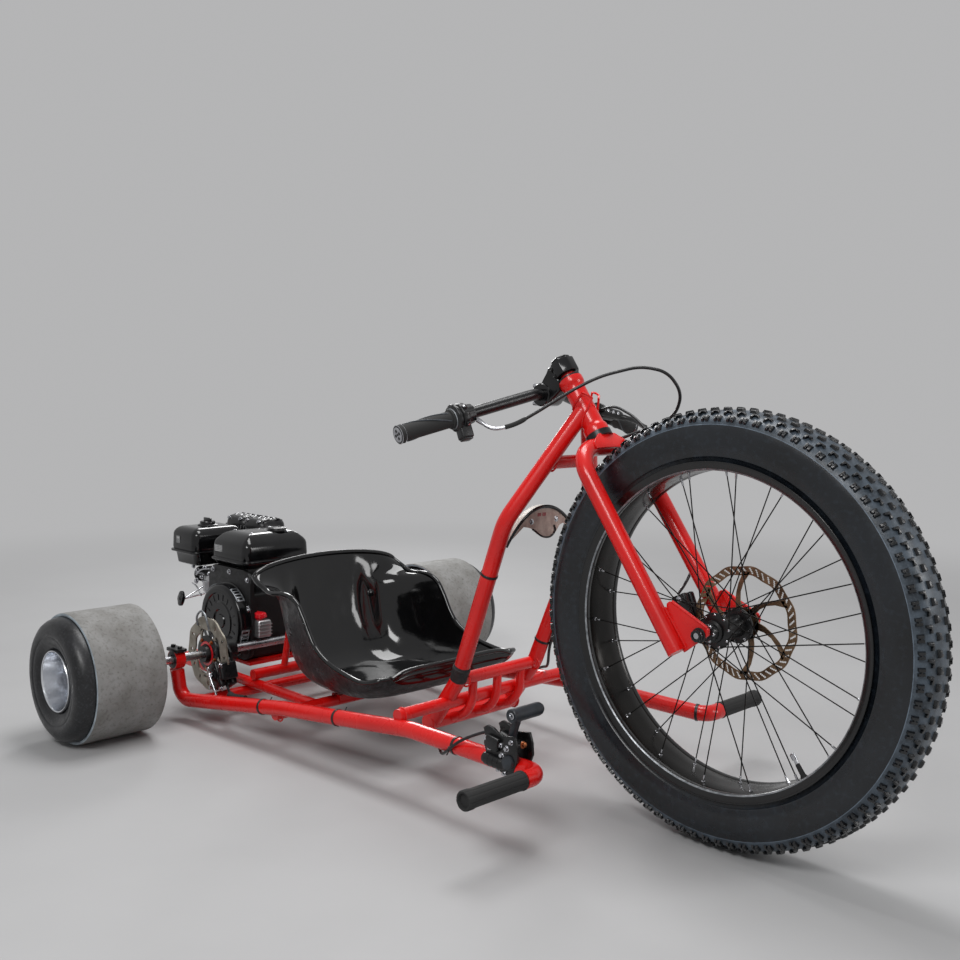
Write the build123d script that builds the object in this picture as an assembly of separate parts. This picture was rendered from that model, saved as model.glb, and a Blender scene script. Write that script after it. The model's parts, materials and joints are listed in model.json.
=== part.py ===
from build123d import *
import math
import os

# Motorized drift trike: one spoked fat front wheel that steers, and a live rear axle with two
# plastic-sleeved kart wheels, driven by a chain from a single-cylinder engine behind the seat.
# Millimetres. +X is forward, +Y the rider's left, +Z up. Stations are measured forward from the
# rear axle and the finished pieces are shifted so that X = 0 is the middle of the whole length.

# Running gear
WHEELBASE = 1268.0
FRONT_R = 376.6
REAR_R = 142.5

# Steering axis, through the ground-side foot point level with the front axle
HEAD_ANGLE = 55.0
FORK_OFFSET = 53.5
CROWN_CLEAR = 21.4
CROWN_S = FRONT_R + CROWN_CLEAR
HEAD_LENGTH = 122.0
HEAD_LOW_S = CROWN_S + 28.0
HEAD_HIGH_S = HEAD_LOW_S + HEAD_LENGTH
STEM_LOW_S = HEAD_HIGH_S + 4.0
STEM_HIGH_S = STEM_LOW_S + 40.0
BAR_S = STEM_LOW_S + 4.0
BAR_BACK = 61.5

# Clearances
SEAT_GAP = 0.3
WELD_GAP = 0.2
RUN_GAP = 0.08
RUBBER_GAP = 0.3

# Frame tubes
TUBE_R = 16.0
BRACE_R = 12.5
HEAD_R = 20.0
HEAD_FLARE_R = 23.5
HEAD_FLARE_LENGTH = 22.0
HEAD_BORE_R = 17.0
TYRE_BACK_X = WHEELBASE - FRONT_R
DOWN_TOP_S = HEAD_LOW_S + 52.0
DOWN_TOP_Y = 8.0
DOWN_KNEE = (TYRE_BACK_X - 29.4, 124.0, FRONT_R + 153.4)
DOWN_LOW = (TYRE_BACK_X - 163.4, 112.0, 200.0)
DOWN_FOOT = (TYRE_BACK_X - 236.4, 112.0, 100.0)
DOWN_KNEE_BEND = 90.0
DOWN_LOW_BEND = 120.0
BRACE_Z = FRONT_R + 263.4
RAIL_TOP_Y = 318.0
RAIL_REAR_Y = 307.0
RAIL_REAR_Z = 45.0
RAIL_FRONT = (TYRE_BACK_X - 151.4, 248.0, 131.0)
RAIL_MIDDLE = (0.4865 * RAIL_FRONT[0], 272.0, 94.0)
RAIL_REAR_BEND = 30.0
RAIL_EASE = 250.0
PEG_X = TYRE_BACK_X + 179.6
PEG_BEND = 26.0
PEG_ROOT_Y = 291.0
PEG_TIP_Y = 429.0
PEG_R = 17.0
PEG_SOCKET_R = 11.0
CROSS_X = DOWN_LOW[0] - 24.0
CROSS_Z = 150.0
REAR_CROSS_X = 54.0
REAR_CROSS_Z = 50.0
RUNNER_Y = 165.0
RUNNER_R = 12.0
RUNNER_BACK_X = -235.0
CRADLE_CROSS_X = 100.0
GUARD_RUNG_Y = 70.0
GUARD_RUNG_R = 9.0
GUARD_BEND = 60.0

# Fork
LEG_Y = 85.0
LEG_R = 16.0
LEG_END_S = -6.0
CROWN_BEND = 58.0
STEERER_R = 14.3
DROPOUT_IN_Y = 75.0
DROPOUT_T = 6.0
AXLE_R = 5.0

# Front wheel
TYRE_HALF = 52.0
RIM_HALF = 50.0
RIM_FLANGE_R = 286.0
RIM_SEAT_R = RIM_FLANGE_R - 8.0
RIM_INNER_R = RIM_FLANGE_R - 15.5
RIM_FLANGE_T = 4.0
HUB_FLANGE_Y = 33.0
HUB_FLANGE_R = 31.0
HUB_FLANGE_T = 4.0
HUB_BODY_R = 16.0
HUB_HALF = 72.0
SPOKE_COUNT = 18
SPOKE_R = 1.1
SPOKE_RIM_Y = 22.0
SPOKE_HEAD_GAP = 0.9
HUB_FLANGE_ROOT_R = 24.0
ROTOR_Y = 58.0
ROTOR_R = 101.5
ROTOR_T = 2.0
ROTOR_BAND = 15.0
ROTOR_HUB_R = 24.0
ROTOR_BORE_R = 14.0

# Tyre's side from the rim flange outward: share of the wall's height, half width
TYRE_PROFILE = ((0.044, RIM_HALF - RIM_FLANGE_T - RUBBER_GAP), (0.177, TYRE_HALF - 1.5),
                (0.43, TYRE_HALF), (0.651, TYRE_HALF - 1.5), (0.817, TYRE_HALF - 8),
                (0.916, TYRE_HALF - 19), (0.985, 18), (1.0, 7))

# Handlebar
BAR_R = 11.1
BAR_CLAMP_HALF = 42.0
BAR_END_Y = 335.0
BAR_END_DROP = 27.15
BAR_END_BACK = 147.5
BAR_BEND = 60.0
GRIP_R = 16.0
GRIP_LENGTH = 118.0
THROTTLE_INNER = GRIP_LENGTH + 38.0

# Rear axle and wheels
AXLE_SHAFT_R = 10.0
AXLE_SHAFT_END = 575.0
AXLE_STUD_R = 8.0
AXLE_STUD_LENGTH = 25.0
CARRIER_R = 25.0
CARRIER_WIDTH = 24.0
SLEEVE_IN_Y = 420.0
SLEEVE_OUT_Y = 580.0
SLEEVE_T = 7.0
KART_IN_Y = 408.0
KART_OUT_Y = 615.0
KART_RIM_R = 67.0
KART_RIM_IN_Y = 430.0
KART_RIM_OUT_Y = 609.0
KART_RIM_T = 4.0
KART_DISC_Y = 520.0
KART_DISC_T = 8.0
KART_HUB_R = 22.0
KART_HUB_HALF = 30.0
REAR_DISC_Y = -235.0
REAR_DISC_R = 88.0
REAR_DISC_T = 4.0
DISC_BAND = 30.0

# Engine
CRANK_X = -100.0
CRANK_Z = 190.0
ENGINE_PLATE_T = 8.0
RECOIL_FACE_Y = -142.0
RECOIL_R = 92.0
RECOIL_SLOTS = 9
SEAM_PROUD = 4.0
SEAM_T = 5.0
BOX_CHAMFER = 11.0
BOX_CORNER = 16.0
CAP_R = 24.0
KNOB_R = 18.0
SHIELD_SLOT = 5.0
FIN_T = 3.0
FIN_PITCH = 10.0
FIN_DEPTH = 9.0
OIL_Y = -80.0
OIL_CLEAR = 5.5
OIL_BLOCK = (46.0, 38.0, 42.0)
OIL_CAP_R = 15.0
CHAIN_Y = 135.0
CHAIN_PITCH = 12.7
CLUTCH_TEETH = 12
SPROCKET_TEETH = 30
CHAIN_HALF_WIDTH = 5.0
CHAIN_HALF_HEIGHT = 6.0
CHAIN_WAIST = 2.0
CASE = ((-188.0, -100.0), (-38.0, 100.0, 260.0))
CYLINDER_AT = (-210.0, 30.0, 236.0)
CYLINDER_SIZE = (190.0, 120.0, 110.0)
CYLINDER_LEAN = 25.0
SHROUD = ((-196.0, -112.0, 112.0), (-20.0, -100.3, 322.0))
TANK = ((-186.0, -120.0, 322.0), (-18.0, 82.0, 408.0))
AIR_BOX = ((-378.0, -125.0, 304.0), (-246.0, 36.0, 402.0))
MUFFLER = ((-370.0, 42.0, 322.0), (-192.0, 128.0, 428.0))
CARBURETTOR = ((-310.0, -100.0, 232.0), (-200.0, -34.0, 303.5))

# Seat, from its back to the front lip just behind the foot guard
SEAT_T = 6.0
SEAT_BACK_X = 134.0
SEAT_FRONT_X = DOWN_FOOT[0] - 49.0
SEAT_LENGTH = SEAT_FRONT_X - SEAT_BACK_X
SEAT_CROSS_X = SEAT_BACK_X + 0.4153 * SEAT_LENGTH
SEAT_PAD_HALF = 15.0
SEAT_CORNER = 55.0
STRUT_Y = 90.0
STRUT_R = 8.0
STRUT_TOP_Z = 262.0

# Cables and hoses: outer radius, and the bend that their clips leave room for
CABLE_R = 3.0
HOSE_R = 2.75
CABLE_GAP = 0.4

# Foot brake on the right peg arm, and the plate between the down tubes
PEDAL_X = PEG_X - 57.0
PAD_Z = 228.0
PAD_R = 10.5
PAD_IN_Y = 190.0
PAD_OUT_Y = 267.0
PANEL_TOP_Z = FRONT_R + 175.4
PANEL_HALF = 115.0
PANEL_DROP = 62.0
PANEL_EDGE = 12.0
PANEL_T = 4.0
PANEL_LOWER = ((60.0, 40.0), (35.0, 57.0), (0.0, 65.0))

# Whole length: the air cleaner is the rearmost piece, the front tyre the foremost
REAR_REACH = -AIR_BOX[0][0]
CENTRE_X = (WHEELBASE + FRONT_R - REAR_REACH) / 2

RUNNER_Z = REAR_CROSS_Z + BRACE_R + RUNNER_R + WELD_GAP
ENGINE_PLATE_Z = RUNNER_Z + RUNNER_R + SEAT_GAP
ENGINE_BASE_Z = ENGINE_PLATE_Z + ENGINE_PLATE_T + SEAT_GAP
CRADLE_CROSS_Z = RUNNER_Z + RUNNER_R + BRACE_R + WELD_GAP

LEAN = math.radians(HEAD_ANGLE)
AXIS_UP = Vector(-math.cos(LEAN), 0, math.sin(LEAN))
AXIS_REAR = Vector(-math.sin(LEAN), 0, -math.cos(LEAN))
FRONT_AXLE = Vector(WHEELBASE, 0, FRONT_R)
AXIS_FOOT = FRONT_AXLE + AXIS_REAR * FORK_OFFSET
SIDES = (("right", -1), ("left", 1))


def steer(s, rear=0.0, y=0.0):
    """Point at height s along the steering axis, rear behind it and y to the left."""
    return AXIS_FOOT + AXIS_UP * s + AXIS_REAR * rear + Vector(0, y, 0)


def steer_plane(s):
    """Plane square to the steering axis at height s, with its X axis pointing rearward."""
    return Plane(origin=steer(s), x_dir=AXIS_REAR, z_dir=AXIS_UP)


def export(name, shape):
    os.makedirs("parts", exist_ok=True)
    export_step(Pos(-CENTRE_X, 0, 0) * shape, f"parts/{name}.step")


def bent_path(points, bends):
    corners = [Vector(*p) if isinstance(p, tuple) else p for p in points]
    if len(corners) == 2:
        return Line(*corners)
    return FilletPolyline(*corners, radius=bends)


def tube(points, radius, bends=()):
    """Round bar along straight runs joined by tangent arcs."""
    path = bent_path(points, list(bends))
    section = Plane(origin=path @ 0, z_dir=path % 0) * Circle(radius)
    return sweep(section, path=path)


def rod(start, end, radius):
    start = Vector(*start) if isinstance(start, tuple) else start
    end = Vector(*end) if isinstance(end, tuple) else end
    along = end - start
    return extrude(Plane(origin=start, z_dir=along) * Circle(radius), along.length)


def disc_y(x, z, y_low, y_high, radius, bore=0.0):
    """Disc or ring about a sideways axis through (x, z)."""
    ring = rod((x, y_low, z), (x, y_high, z), radius)
    if bore:
        ring -= rod((x, y_low - 1, z), (x, y_high + 1, z), bore)
    return ring


def turned_y(x, z, outline):
    """Solid of revolution about a sideways axis; the outline is (radius, y) pairs."""
    points = [(x, y, z + r) for r, y in outline]
    face = make_face(Polyline(*points, close=True))
    return revolve(face, axis=Axis((x, 0, z), (0, 1, 0)), revolution_arc=360)


def block(low, high, rounding=0.0):
    size = [high[i] - low[i] for i in range(3)]
    middle = [(high[i] + low[i]) / 2 for i in range(3)]
    box = Pos(*middle) * Box(*size)
    if rounding:
        box = fillet(box.edges(), rounding)
    return box


# ---------------------------------------------------------------- frame

def head_tube():
    length = HEAD_HIGH_S - HEAD_LOW_S
    body = extrude(steer_plane(HEAD_LOW_S) * Circle(HEAD_R), length)
    low = steer_plane(HEAD_LOW_S) * Circle(HEAD_FLARE_R)
    low_top = steer_plane(HEAD_LOW_S + HEAD_FLARE_LENGTH) * Circle(HEAD_R)
    high = steer_plane(HEAD_HIGH_S - HEAD_FLARE_LENGTH) * Circle(HEAD_R)
    high_top = steer_plane(HEAD_HIGH_S) * Circle(HEAD_FLARE_R)
    body += loft([low, low_top])
    body += loft([high, high_top])
    return body - extrude(steer_plane(HEAD_LOW_S - 1) * Circle(HEAD_BORE_R), length + 2)


def headset():
    """Two bearing rings, below and above the head tube, round the steerer."""
    low_s = CROWN_S + LEG_R + SEAT_GAP
    low = extrude(steer_plane(low_s) * Circle(HEAD_FLARE_R + 1.5), HEAD_LOW_S - low_s)
    high = extrude(steer_plane(HEAD_HIGH_S) * Circle(HEAD_FLARE_R - 2.0),
                   STEM_LOW_S - SEAT_GAP - HEAD_HIGH_S)
    bore = extrude(steer_plane(low_s - 1) * Circle(STEERER_R + RUN_GAP), 200)
    return (low - bore) + (high - bore)


def down_tube_points(side):
    top = steer(DOWN_TOP_S, 0, side * DOWN_TOP_Y)
    return [top] + [Vector(x, side * y, z) for x, y, z in (DOWN_KNEE, DOWN_LOW, DOWN_FOOT)]


def down_tube_bar(side, grow=0.0):
    return tube(down_tube_points(side), TUBE_R + grow, (DOWN_KNEE_BEND, DOWN_LOW_BEND))


def head_cutter():
    return extrude(steer_plane(HEAD_LOW_S - 40) * Circle(HEAD_R + WELD_GAP),
                   HEAD_HIGH_S - HEAD_LOW_S + 80)


def half_space(side, gap=WELD_GAP / 2):
    """The other side of the middle plane, kept off it by a weld gap."""
    return Pos(800, -side * (250 - gap), 400) * Box(1600, 500, 1600)


def down_tube(side):
    return down_tube_bar(side) - head_cutter() - half_space(side) - foot_cross_bar(WELD_GAP)


def point_on_down_tube(side, z):
    """Centre of the upper straight of a down tube at height z."""
    top, knee = down_tube_points(side)[:2]
    share = (z - knee.Z) / (top.Z - knee.Z)
    return knee + (top - knee) * share


def rail_points(side):
    return [
        Vector(0, side * RAIL_TOP_Y, REAR_R - CARRIER_R + 4),
        Vector(0, side * RAIL_REAR_Y, RAIL_REAR_Z),
        Vector(RAIL_MIDDLE[0], side * RAIL_MIDDLE[1], RAIL_MIDDLE[2]),
        Vector(RAIL_FRONT[0], side * RAIL_FRONT[1], RAIL_FRONT[2]),
        Vector(PEG_X, side * RAIL_FRONT[1], RAIL_FRONT[2]),
        Vector(PEG_X, side * PEG_ROOT_Y, RAIL_FRONT[2]),
    ]


def rail_bar(side, grow=0.0):
    bends = (RAIL_REAR_BEND, RAIL_EASE, RAIL_EASE, PEG_BEND)
    return tube(rail_points(side), TUBE_R + grow, bends)


def rail(side):
    y = side * RAIL_TOP_Y
    cup = disc_y(0, REAR_R, y - 40, y + 40, CARRIER_R + WELD_GAP)
    pin = rod((PEG_X, side * (PEG_ROOT_Y - 1), RAIL_FRONT[2]),
              (PEG_X, side * (PEG_TIP_Y - 8), RAIL_FRONT[2]), PEG_SOCKET_R)
    return rail_bar(side) - cup + pin


def rail_at(x):
    """Sideways place and height of the rail's centre line at station x."""
    runs = [(0.0, RAIL_REAR_Y, RAIL_REAR_Z), RAIL_MIDDLE, RAIL_FRONT,
            (PEG_X, RAIL_FRONT[1], RAIL_FRONT[2])]
    for low, high in zip(runs, runs[1:]):
        if x <= high[0]:
            share = (x - low[0]) / (high[0] - low[0])
            return [low[i] + (high[i] - low[i]) * share for i in (1, 2)]
    return runs[-1][1:]


def cross_bar(x, z, radius=BRACE_R):
    y = rail_at(x)[0]
    bar = rod((x, -y, z), (x, y, z), radius)
    for _, side in SIDES:
        bar -= rail_bar(side, WELD_GAP)
    return keep_middle(bar)


def keep_middle(shape):
    """The solids that cross or lie nearest the middle plane, without the cut-off ends."""
    reach = min(abs(s.center().Y) for s in shape.solids())
    kept = [s for s in shape.solids() if abs(s.center().Y) < reach + 1]
    return kept[0] if len(kept) == 1 else Compound(children=kept)


def front_cross_tube():
    bar = cross_bar(CROSS_X, CROSS_Z)
    for _, side in SIDES:
        bar -= down_tube_bar(side, WELD_GAP)
    return Compound(children=[s for s in bar.solids() if s.volume > 2000])


def foot_cross_bar(grow=0.0):
    x, y, z = DOWN_FOOT
    return rod((x, -y - TUBE_R, z), (x, y + TUBE_R, z), TUBE_R + grow)


def foot_cross_tube():
    return foot_cross_bar()


def rear_cross_tube():
    return cross_bar(REAR_CROSS_X, REAR_CROSS_Z)


def cradle():
    """Two runners that carry the engine plate and meet the seat cross tube, with their cross bar."""
    y = RUNNER_Y
    bars = [rod((RUNNER_BACK_X, side * y, RUNNER_Z), (SEAT_CROSS_X, side * y, RUNNER_Z), RUNNER_R)
            for _, side in SIDES]
    cross = rod((CRADLE_CROSS_X, -y - RUNNER_R, CRADLE_CROSS_Z),
                (CRADLE_CROSS_X, y + RUNNER_R, CRADLE_CROSS_Z), BRACE_R)
    seat_cross = rod((SEAT_CROSS_X, -y - 60, RUNNER_Z), (SEAT_CROSS_X, y + 60, RUNNER_Z),
                     BRACE_R + WELD_GAP)
    runners = [(bar - seat_cross).solids()[0] for bar in bars]
    return Compound(children=runners + cross.solids())


def seat_cross_tube():
    """Tube under the seat, with two flat pads on top of it."""
    bar = cross_bar(SEAT_CROSS_X, RUNNER_Z)
    top = SEAT_STATIONS[6][0][1] - SEAT_GAP
    for _, side in SIDES:
        y = side * STRUT_Y
        bar += block((SEAT_CROSS_X - SEAT_PAD_HALF, y - 20, RUNNER_Z),
                     (SEAT_CROSS_X + SEAT_PAD_HALF, y + 20, top))
    return bar


def seat_back_x(z):
    """Station of the outside of the seat's back at height z."""
    lows = [seat_point(*station[0]) for station in SEAT_STATIONS[:5]]
    for upper, lower in zip(lows, lows[1:]):
        if lower[1] <= z <= upper[1]:
            share = (z - lower[1]) / (upper[1] - lower[1])
            return lower[0] + (upper[0] - lower[0]) * share
    return lows[-1][0]


def seat_struts():
    """Two struts from the cradle's cross bar to the back of the seat."""
    struts = []
    back = seat_back_x(STRUT_TOP_Z)
    for _, side in SIDES:
        y = side * STRUT_Y
        foot = (CRADLE_CROSS_X, y, CRADLE_CROSS_Z)
        top = (back - 14, y, STRUT_TOP_Z)
        bar = rod(foot, top, STRUT_R)
        bar += block((back - 16, y - 14, STRUT_TOP_Z - 16),
                     (seat_back_x(STRUT_TOP_Z + 16) - SEAT_GAP, y + 14, STRUT_TOP_Z + 16))
        bar -= rod((CRADLE_CROSS_X, -200, CRADLE_CROSS_Z), (CRADLE_CROSS_X, 200, CRADLE_CROSS_Z),
                   BRACE_R + WELD_GAP)
        struts.append(max(bar.solids(), key=lambda s: s.volume))
    return Compound(children=struts)


def front_plate():
    """Arched crescent panel between the down tubes, deeper in its middle."""
    x = point_on_down_tube(1, PANEL_TOP_Z - PANEL_DROP).X
    ends = [Vector(x, side * PANEL_HALF, PANEL_TOP_Z - PANEL_DROP) for side in (-1, 1)]
    arch = ThreePointArc(ends[0], Vector(x, 0, PANEL_TOP_Z), ends[1])
    left = [Vector(x, y, PANEL_TOP_Z - drop) for y, drop in PANEL_LOWER]
    right = [Vector(x, -p.Y, p.Z) for p in reversed(left[:-1])]
    feet = [end - Vector(0, 0, PANEL_EDGE) for end in ends]
    lower = Polyline(ends[1], feet[1], *left, *right, feet[0], ends[0])
    panel = extrude(make_face([arch, lower]), PANEL_T, dir=Vector(1, 0, 0))
    for _, side in SIDES:
        panel -= down_tube_bar(side, WELD_GAP)
    return keep_middle(panel)


def brake_pedal():
    """Foot brake: a clamp on the right peg arm, its cylinder, and an upright arm with a pad."""
    y = -RAIL_FRONT[1]
    z = RAIL_FRONT[2]
    unit = block((PEDAL_X - 40, y - 24, z - 22), (PEDAL_X + 12, y + 24, z + 30), 6)
    unit += rod((PEDAL_X - 62, y + 4, z + 46), (PEDAL_X + 20, y + 4, z + 30), 15)
    unit += block((PEDAL_X - 8, y - 2, z + 20), (PEDAL_X + 8, y + 22, PAD_Z))
    unit += rod((PEDAL_X, -PAD_OUT_Y, PAD_Z), (PEDAL_X, -PAD_IN_Y, PAD_Z), PAD_R)
    return unit - rail_bar(-1, SEAT_GAP)


def down_tube_brace():
    ends = [point_on_down_tube(side, BRACE_Z) for _, side in SIDES]
    bar = rod(ends[0], ends[1], BRACE_R)
    for _, side in SIDES:
        bar -= down_tube_bar(side, WELD_GAP)
    return keep_middle(bar)


def foot_guard():
    """Upper bar between the down tubes with three rungs curving back to the lower bar."""
    x, y, z = DOWN_LOW
    bar = rod((x, -y, z), (x, y, z), BRACE_R)
    foot_x, _, foot_z = DOWN_FOOT
    for rung_y in (-GUARD_RUNG_Y, 0, GUARD_RUNG_Y):
        points = [Vector(x, rung_y, z), Vector(x - 4, rung_y, foot_z + 22),
                  Vector(foot_x, rung_y, foot_z)]
        bar += tube(points, GUARD_RUNG_R, (GUARD_BEND,))
    for _, side in SIDES:
        bar -= down_tube_bar(side, WELD_GAP)
    bar -= foot_cross_bar(WELD_GAP)
    bar -= rod((CROSS_X, -y, CROSS_Z), (CROSS_X, y, CROSS_Z), BRACE_R + WELD_GAP)
    return keep_middle(bar)


def foot_pegs():
    pegs = []
    for _, side in SIDES:
        z = RAIL_FRONT[2]
        sleeve = rod((PEG_X, side * (PEG_ROOT_Y + SEAT_GAP), z), (PEG_X, side * PEG_TIP_Y, z), PEG_R)
        pin = rod((PEG_X, side * PEG_ROOT_Y, z), (PEG_X, side * (PEG_TIP_Y - 8 + SEAT_GAP), z),
                  PEG_SOCKET_R + RUBBER_GAP)
        pegs.append(sleeve - pin)
    return Compound(children=[s for peg in pegs for s in peg.solids()])


def axle_carriers():
    rings = []
    half = CARRIER_WIDTH / 2
    for _, side in SIDES:
        y = side * RAIL_TOP_Y
        rings.append(disc_y(0, REAR_R, y - half, y + half, CARRIER_R, AXLE_SHAFT_R + RUN_GAP))
    return Compound(children=[s for ring in rings for s in ring.solids()])


# ---------------------------------------------------------------- steering

def fork():
    body = extrude(steer_plane(CROWN_S) * Circle(STEERER_R), STEM_HIGH_S - 4 - CROWN_S)
    for _, side in SIDES:
        points = [steer(CROWN_S), steer(CROWN_S, 0, side * LEG_Y), steer(LEG_END_S, 0, side * LEG_Y)]
        body += tube(points, LEG_R, (CROWN_BEND,))
    return body


def dropouts():
    """Two plates that carry the axle ahead of the leg ends."""
    plates = []
    for _, side in SIDES:
        corners = [(-10, 0), (52, 0), (16, -FORK_OFFSET - 6), (-13, -FORK_OFFSET - 13)]
        outline = [steer(s, rear, side * DROPOUT_IN_Y) for s, rear in corners]
        face = make_face(Polyline(*outline, close=True))
        plate = extrude(face, DROPOUT_T, dir=Vector(0, side, 0))
        plate += disc_y(WHEELBASE, FRONT_R, min(side * DROPOUT_IN_Y, side * (DROPOUT_IN_Y + DROPOUT_T)),
                        max(side * DROPOUT_IN_Y, side * (DROPOUT_IN_Y + DROPOUT_T)), 15)
        plate -= rod((WHEELBASE, -200, FRONT_R), (WHEELBASE, 200, FRONT_R), AXLE_R + RUN_GAP)
        for _, leg_side in SIDES:
            leg = rod(steer(LEG_END_S - 60, 0, leg_side * LEG_Y), steer(200, 0, leg_side * LEG_Y),
                      LEG_R + WELD_GAP)
            plate -= leg
        plates.append(max(plate.solids(), key=lambda s: s.volume))
    return Compound(children=plates)


def front_axle():
    """Axle through the hub and both dropouts, with a domed bolt at each end."""
    face = DROPOUT_IN_Y + DROPOUT_T + SEAT_GAP
    pin = rod((WHEELBASE, -face - 10, FRONT_R), (WHEELBASE, face + 10, FRONT_R), AXLE_R)
    for _, side in SIDES:
        ends = sorted((side * face, side * (face + 11)))
        pin += disc_y(WHEELBASE, FRONT_R, ends[0], ends[1], 10)
    return pin


def stem():
    """Steerer clamp with a short body running back to the bar clamp."""
    bar = steer(BAR_S, BAR_BACK)
    clamp = extrude(steer_plane(STEM_LOW_S) * Circle(STEERER_R + 7), STEM_HIGH_S - STEM_LOW_S)
    arm_low = steer(STEM_LOW_S + 4, 10)
    arm_high = steer(STEM_HIGH_S - 2, 10)
    outline = [arm_low, arm_high, steer(BAR_S + 20, BAR_BACK - 12), steer(BAR_S - 14, BAR_BACK - 12)]
    face = make_face(Polyline(*[p + Vector(0, -17, 0) for p in outline], close=True))
    arm = extrude(face, 34, dir=Vector(0, 1, 0))
    ends = rod(bar + Vector(0, -25, 0), bar + Vector(0, 25, 0), BAR_R + 9)
    body = clamp + arm + ends
    body -= extrude(steer_plane(STEM_LOW_S - 1) * Circle(STEERER_R + RUN_GAP), 41 - 4)
    return body - rod(bar + Vector(0, -40, 0), bar + Vector(0, 40, 0), BAR_R + RUN_GAP)


def bar_points(side, inset=0.0):
    """Bar bend and end on one side; inset shortens the outer run from its end."""
    bend = steer(BAR_S, BAR_BACK, side * BAR_CLAMP_HALF)
    end = steer(BAR_S - BAR_END_DROP, BAR_END_BACK, side * BAR_END_Y)
    along = (end - bend).normalized()
    return bend, end - along * inset


def handlebar():
    right_bend, right_end = bar_points(-1, 3)
    left_bend, left_end = bar_points(1, 3)
    return tube([right_end, right_bend, left_bend, left_end], BAR_R, (BAR_BEND, BAR_BEND))


def bar_sleeve(side, inner, length, radius, bore=BAR_R + RUBBER_GAP):
    """Sleeve on the bar's outer run that starts inner from the bar end."""
    _, start = bar_points(side, inner)
    _, end = bar_points(side, inner + length)
    return rod(start, end, radius) - rod(start, end, bore)


def grips():
    """Left grip and right twist grip, each closed at the bar's end."""
    made = []
    for _, side in SIDES:
        sleeve = bar_sleeve(side, 2.7, GRIP_LENGTH, GRIP_R)
        _, cap_start = bar_points(side, 0)
        _, cap_end = bar_points(side, 2.7)
        made += (sleeve + rod(cap_start, cap_end, GRIP_R)).solids()
    return Compound(children=made)


def throttle_housing():
    length = THROTTLE_INNER - GRIP_LENGTH - 4
    return bar_sleeve(-1, GRIP_LENGTH + 4, length, 20) + bar_sleeve(-1, GRIP_LENGTH + 10, length - 12, 24)


def brake_lever():
    body = bar_sleeve(1, GRIP_LENGTH + 8, 26, 18)
    _, root = bar_points(1, GRIP_LENGTH + 20)
    _, tip = bar_points(1, 24)
    ahead = Vector(34, 0, -14)
    blade = tube([root + Vector(14, 0, -6), root + ahead + Vector(6, 8, 0), tip + ahead], 4.5, (18,))
    master = rod(root + Vector(19, -26, 8), root + Vector(19, 14, 2), 9)
    bore = rod(*[bar_points(1, inset)[1] for inset in (0, GRIP_LENGTH + 60)], BAR_R + RUBBER_GAP)
    return body + (blade + master - bore)


# ---------------------------------------------------------------- front wheel

def front_tyre():
    """Fat tyre, out to the tips of its knobs."""
    bead = RIM_SEAT_R + RUBBER_GAP
    inside = RIM_HALF - RIM_FLANGE_T - RUBBER_GAP
    wall = FRONT_R - RIM_FLANGE_R
    half = [(bead, inside)]
    half += [(RIM_FLANGE_R + share * wall, y) for share, y in TYRE_PROFILE]
    outline = [(r, -y) for r, y in half] + [(r, y) for r, y in reversed(half)]
    return turned_y(WHEELBASE, FRONT_R, outline)


def front_rim():
    inner_half = RIM_HALF - RIM_FLANGE_T
    half = [(RIM_INNER_R, 34), (RIM_INNER_R + 4, RIM_HALF), (RIM_FLANGE_R, RIM_HALF),
            (RIM_FLANGE_R, inner_half), (RIM_SEAT_R, inner_half)]
    outline = [(r, -y) for r, y in half] + [(r, y) for r, y in reversed(half)]
    return turned_y(WHEELBASE, FRONT_R, outline)


def front_hub():
    half = [(AXLE_R + RUN_GAP, HUB_HALF), (11, HUB_HALF), (HUB_BODY_R + 4, HUB_HALF - 14),
            (HUB_BODY_R + 4, HUB_FLANGE_Y + 6),
            (HUB_FLANGE_ROOT_R, HUB_FLANGE_Y + HUB_FLANGE_T / 2),
            (HUB_FLANGE_R + 4, HUB_FLANGE_Y + HUB_FLANGE_T / 2),
            (HUB_FLANGE_R + 4, HUB_FLANGE_Y - HUB_FLANGE_T / 2),
            (HUB_FLANGE_ROOT_R, HUB_FLANGE_Y - HUB_FLANGE_T / 2), (HUB_BODY_R, HUB_FLANGE_Y - 9)]
    outline = [(r, -y) for r, y in half] + [(r, y) for r, y in reversed(half)]
    hub = turned_y(WHEELBASE, FRONT_R, outline)
    seat_y = ROTOR_Y - ROTOR_T / 2 - SEAT_GAP
    boss = disc_y(WHEELBASE, FRONT_R, HUB_FLANGE_Y + 6, seat_y, ROTOR_HUB_R, AXLE_R + RUN_GAP)
    return hub + boss - disc_y(WHEELBASE, FRONT_R, seat_y, seat_y + 100, 100, ROTOR_BORE_R - SEAT_GAP)


def spoke_ends(side, k):
    """Hub and rim ends of spoke k; leading and trailing spokes alternate across the flange."""
    lead = 1 if k % 2 else -1
    rim_angle = math.radians(360 / SPOKE_COUNT * (k + 0.2) + (90 / SPOKE_COUNT) * side)
    hub_angle = rim_angle + lead * math.radians(62)
    gap = SPOKE_HEAD_GAP if lead > 0 else SEAT_GAP
    hub_y = side * (HUB_FLANGE_Y + lead * (HUB_FLANGE_T / 2 + SPOKE_R + gap))
    hub_r = HUB_FLANGE_R
    rim_r = RIM_INNER_R - SEAT_GAP
    rim_y = side * SPOKE_RIM_Y
    start = Vector(WHEELBASE + hub_r * math.cos(hub_angle), hub_y, FRONT_R + hub_r * math.sin(hub_angle))
    end = Vector(WHEELBASE + rim_r * math.cos(rim_angle), rim_y, FRONT_R + rim_r * math.sin(rim_angle))
    return start, end


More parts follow.
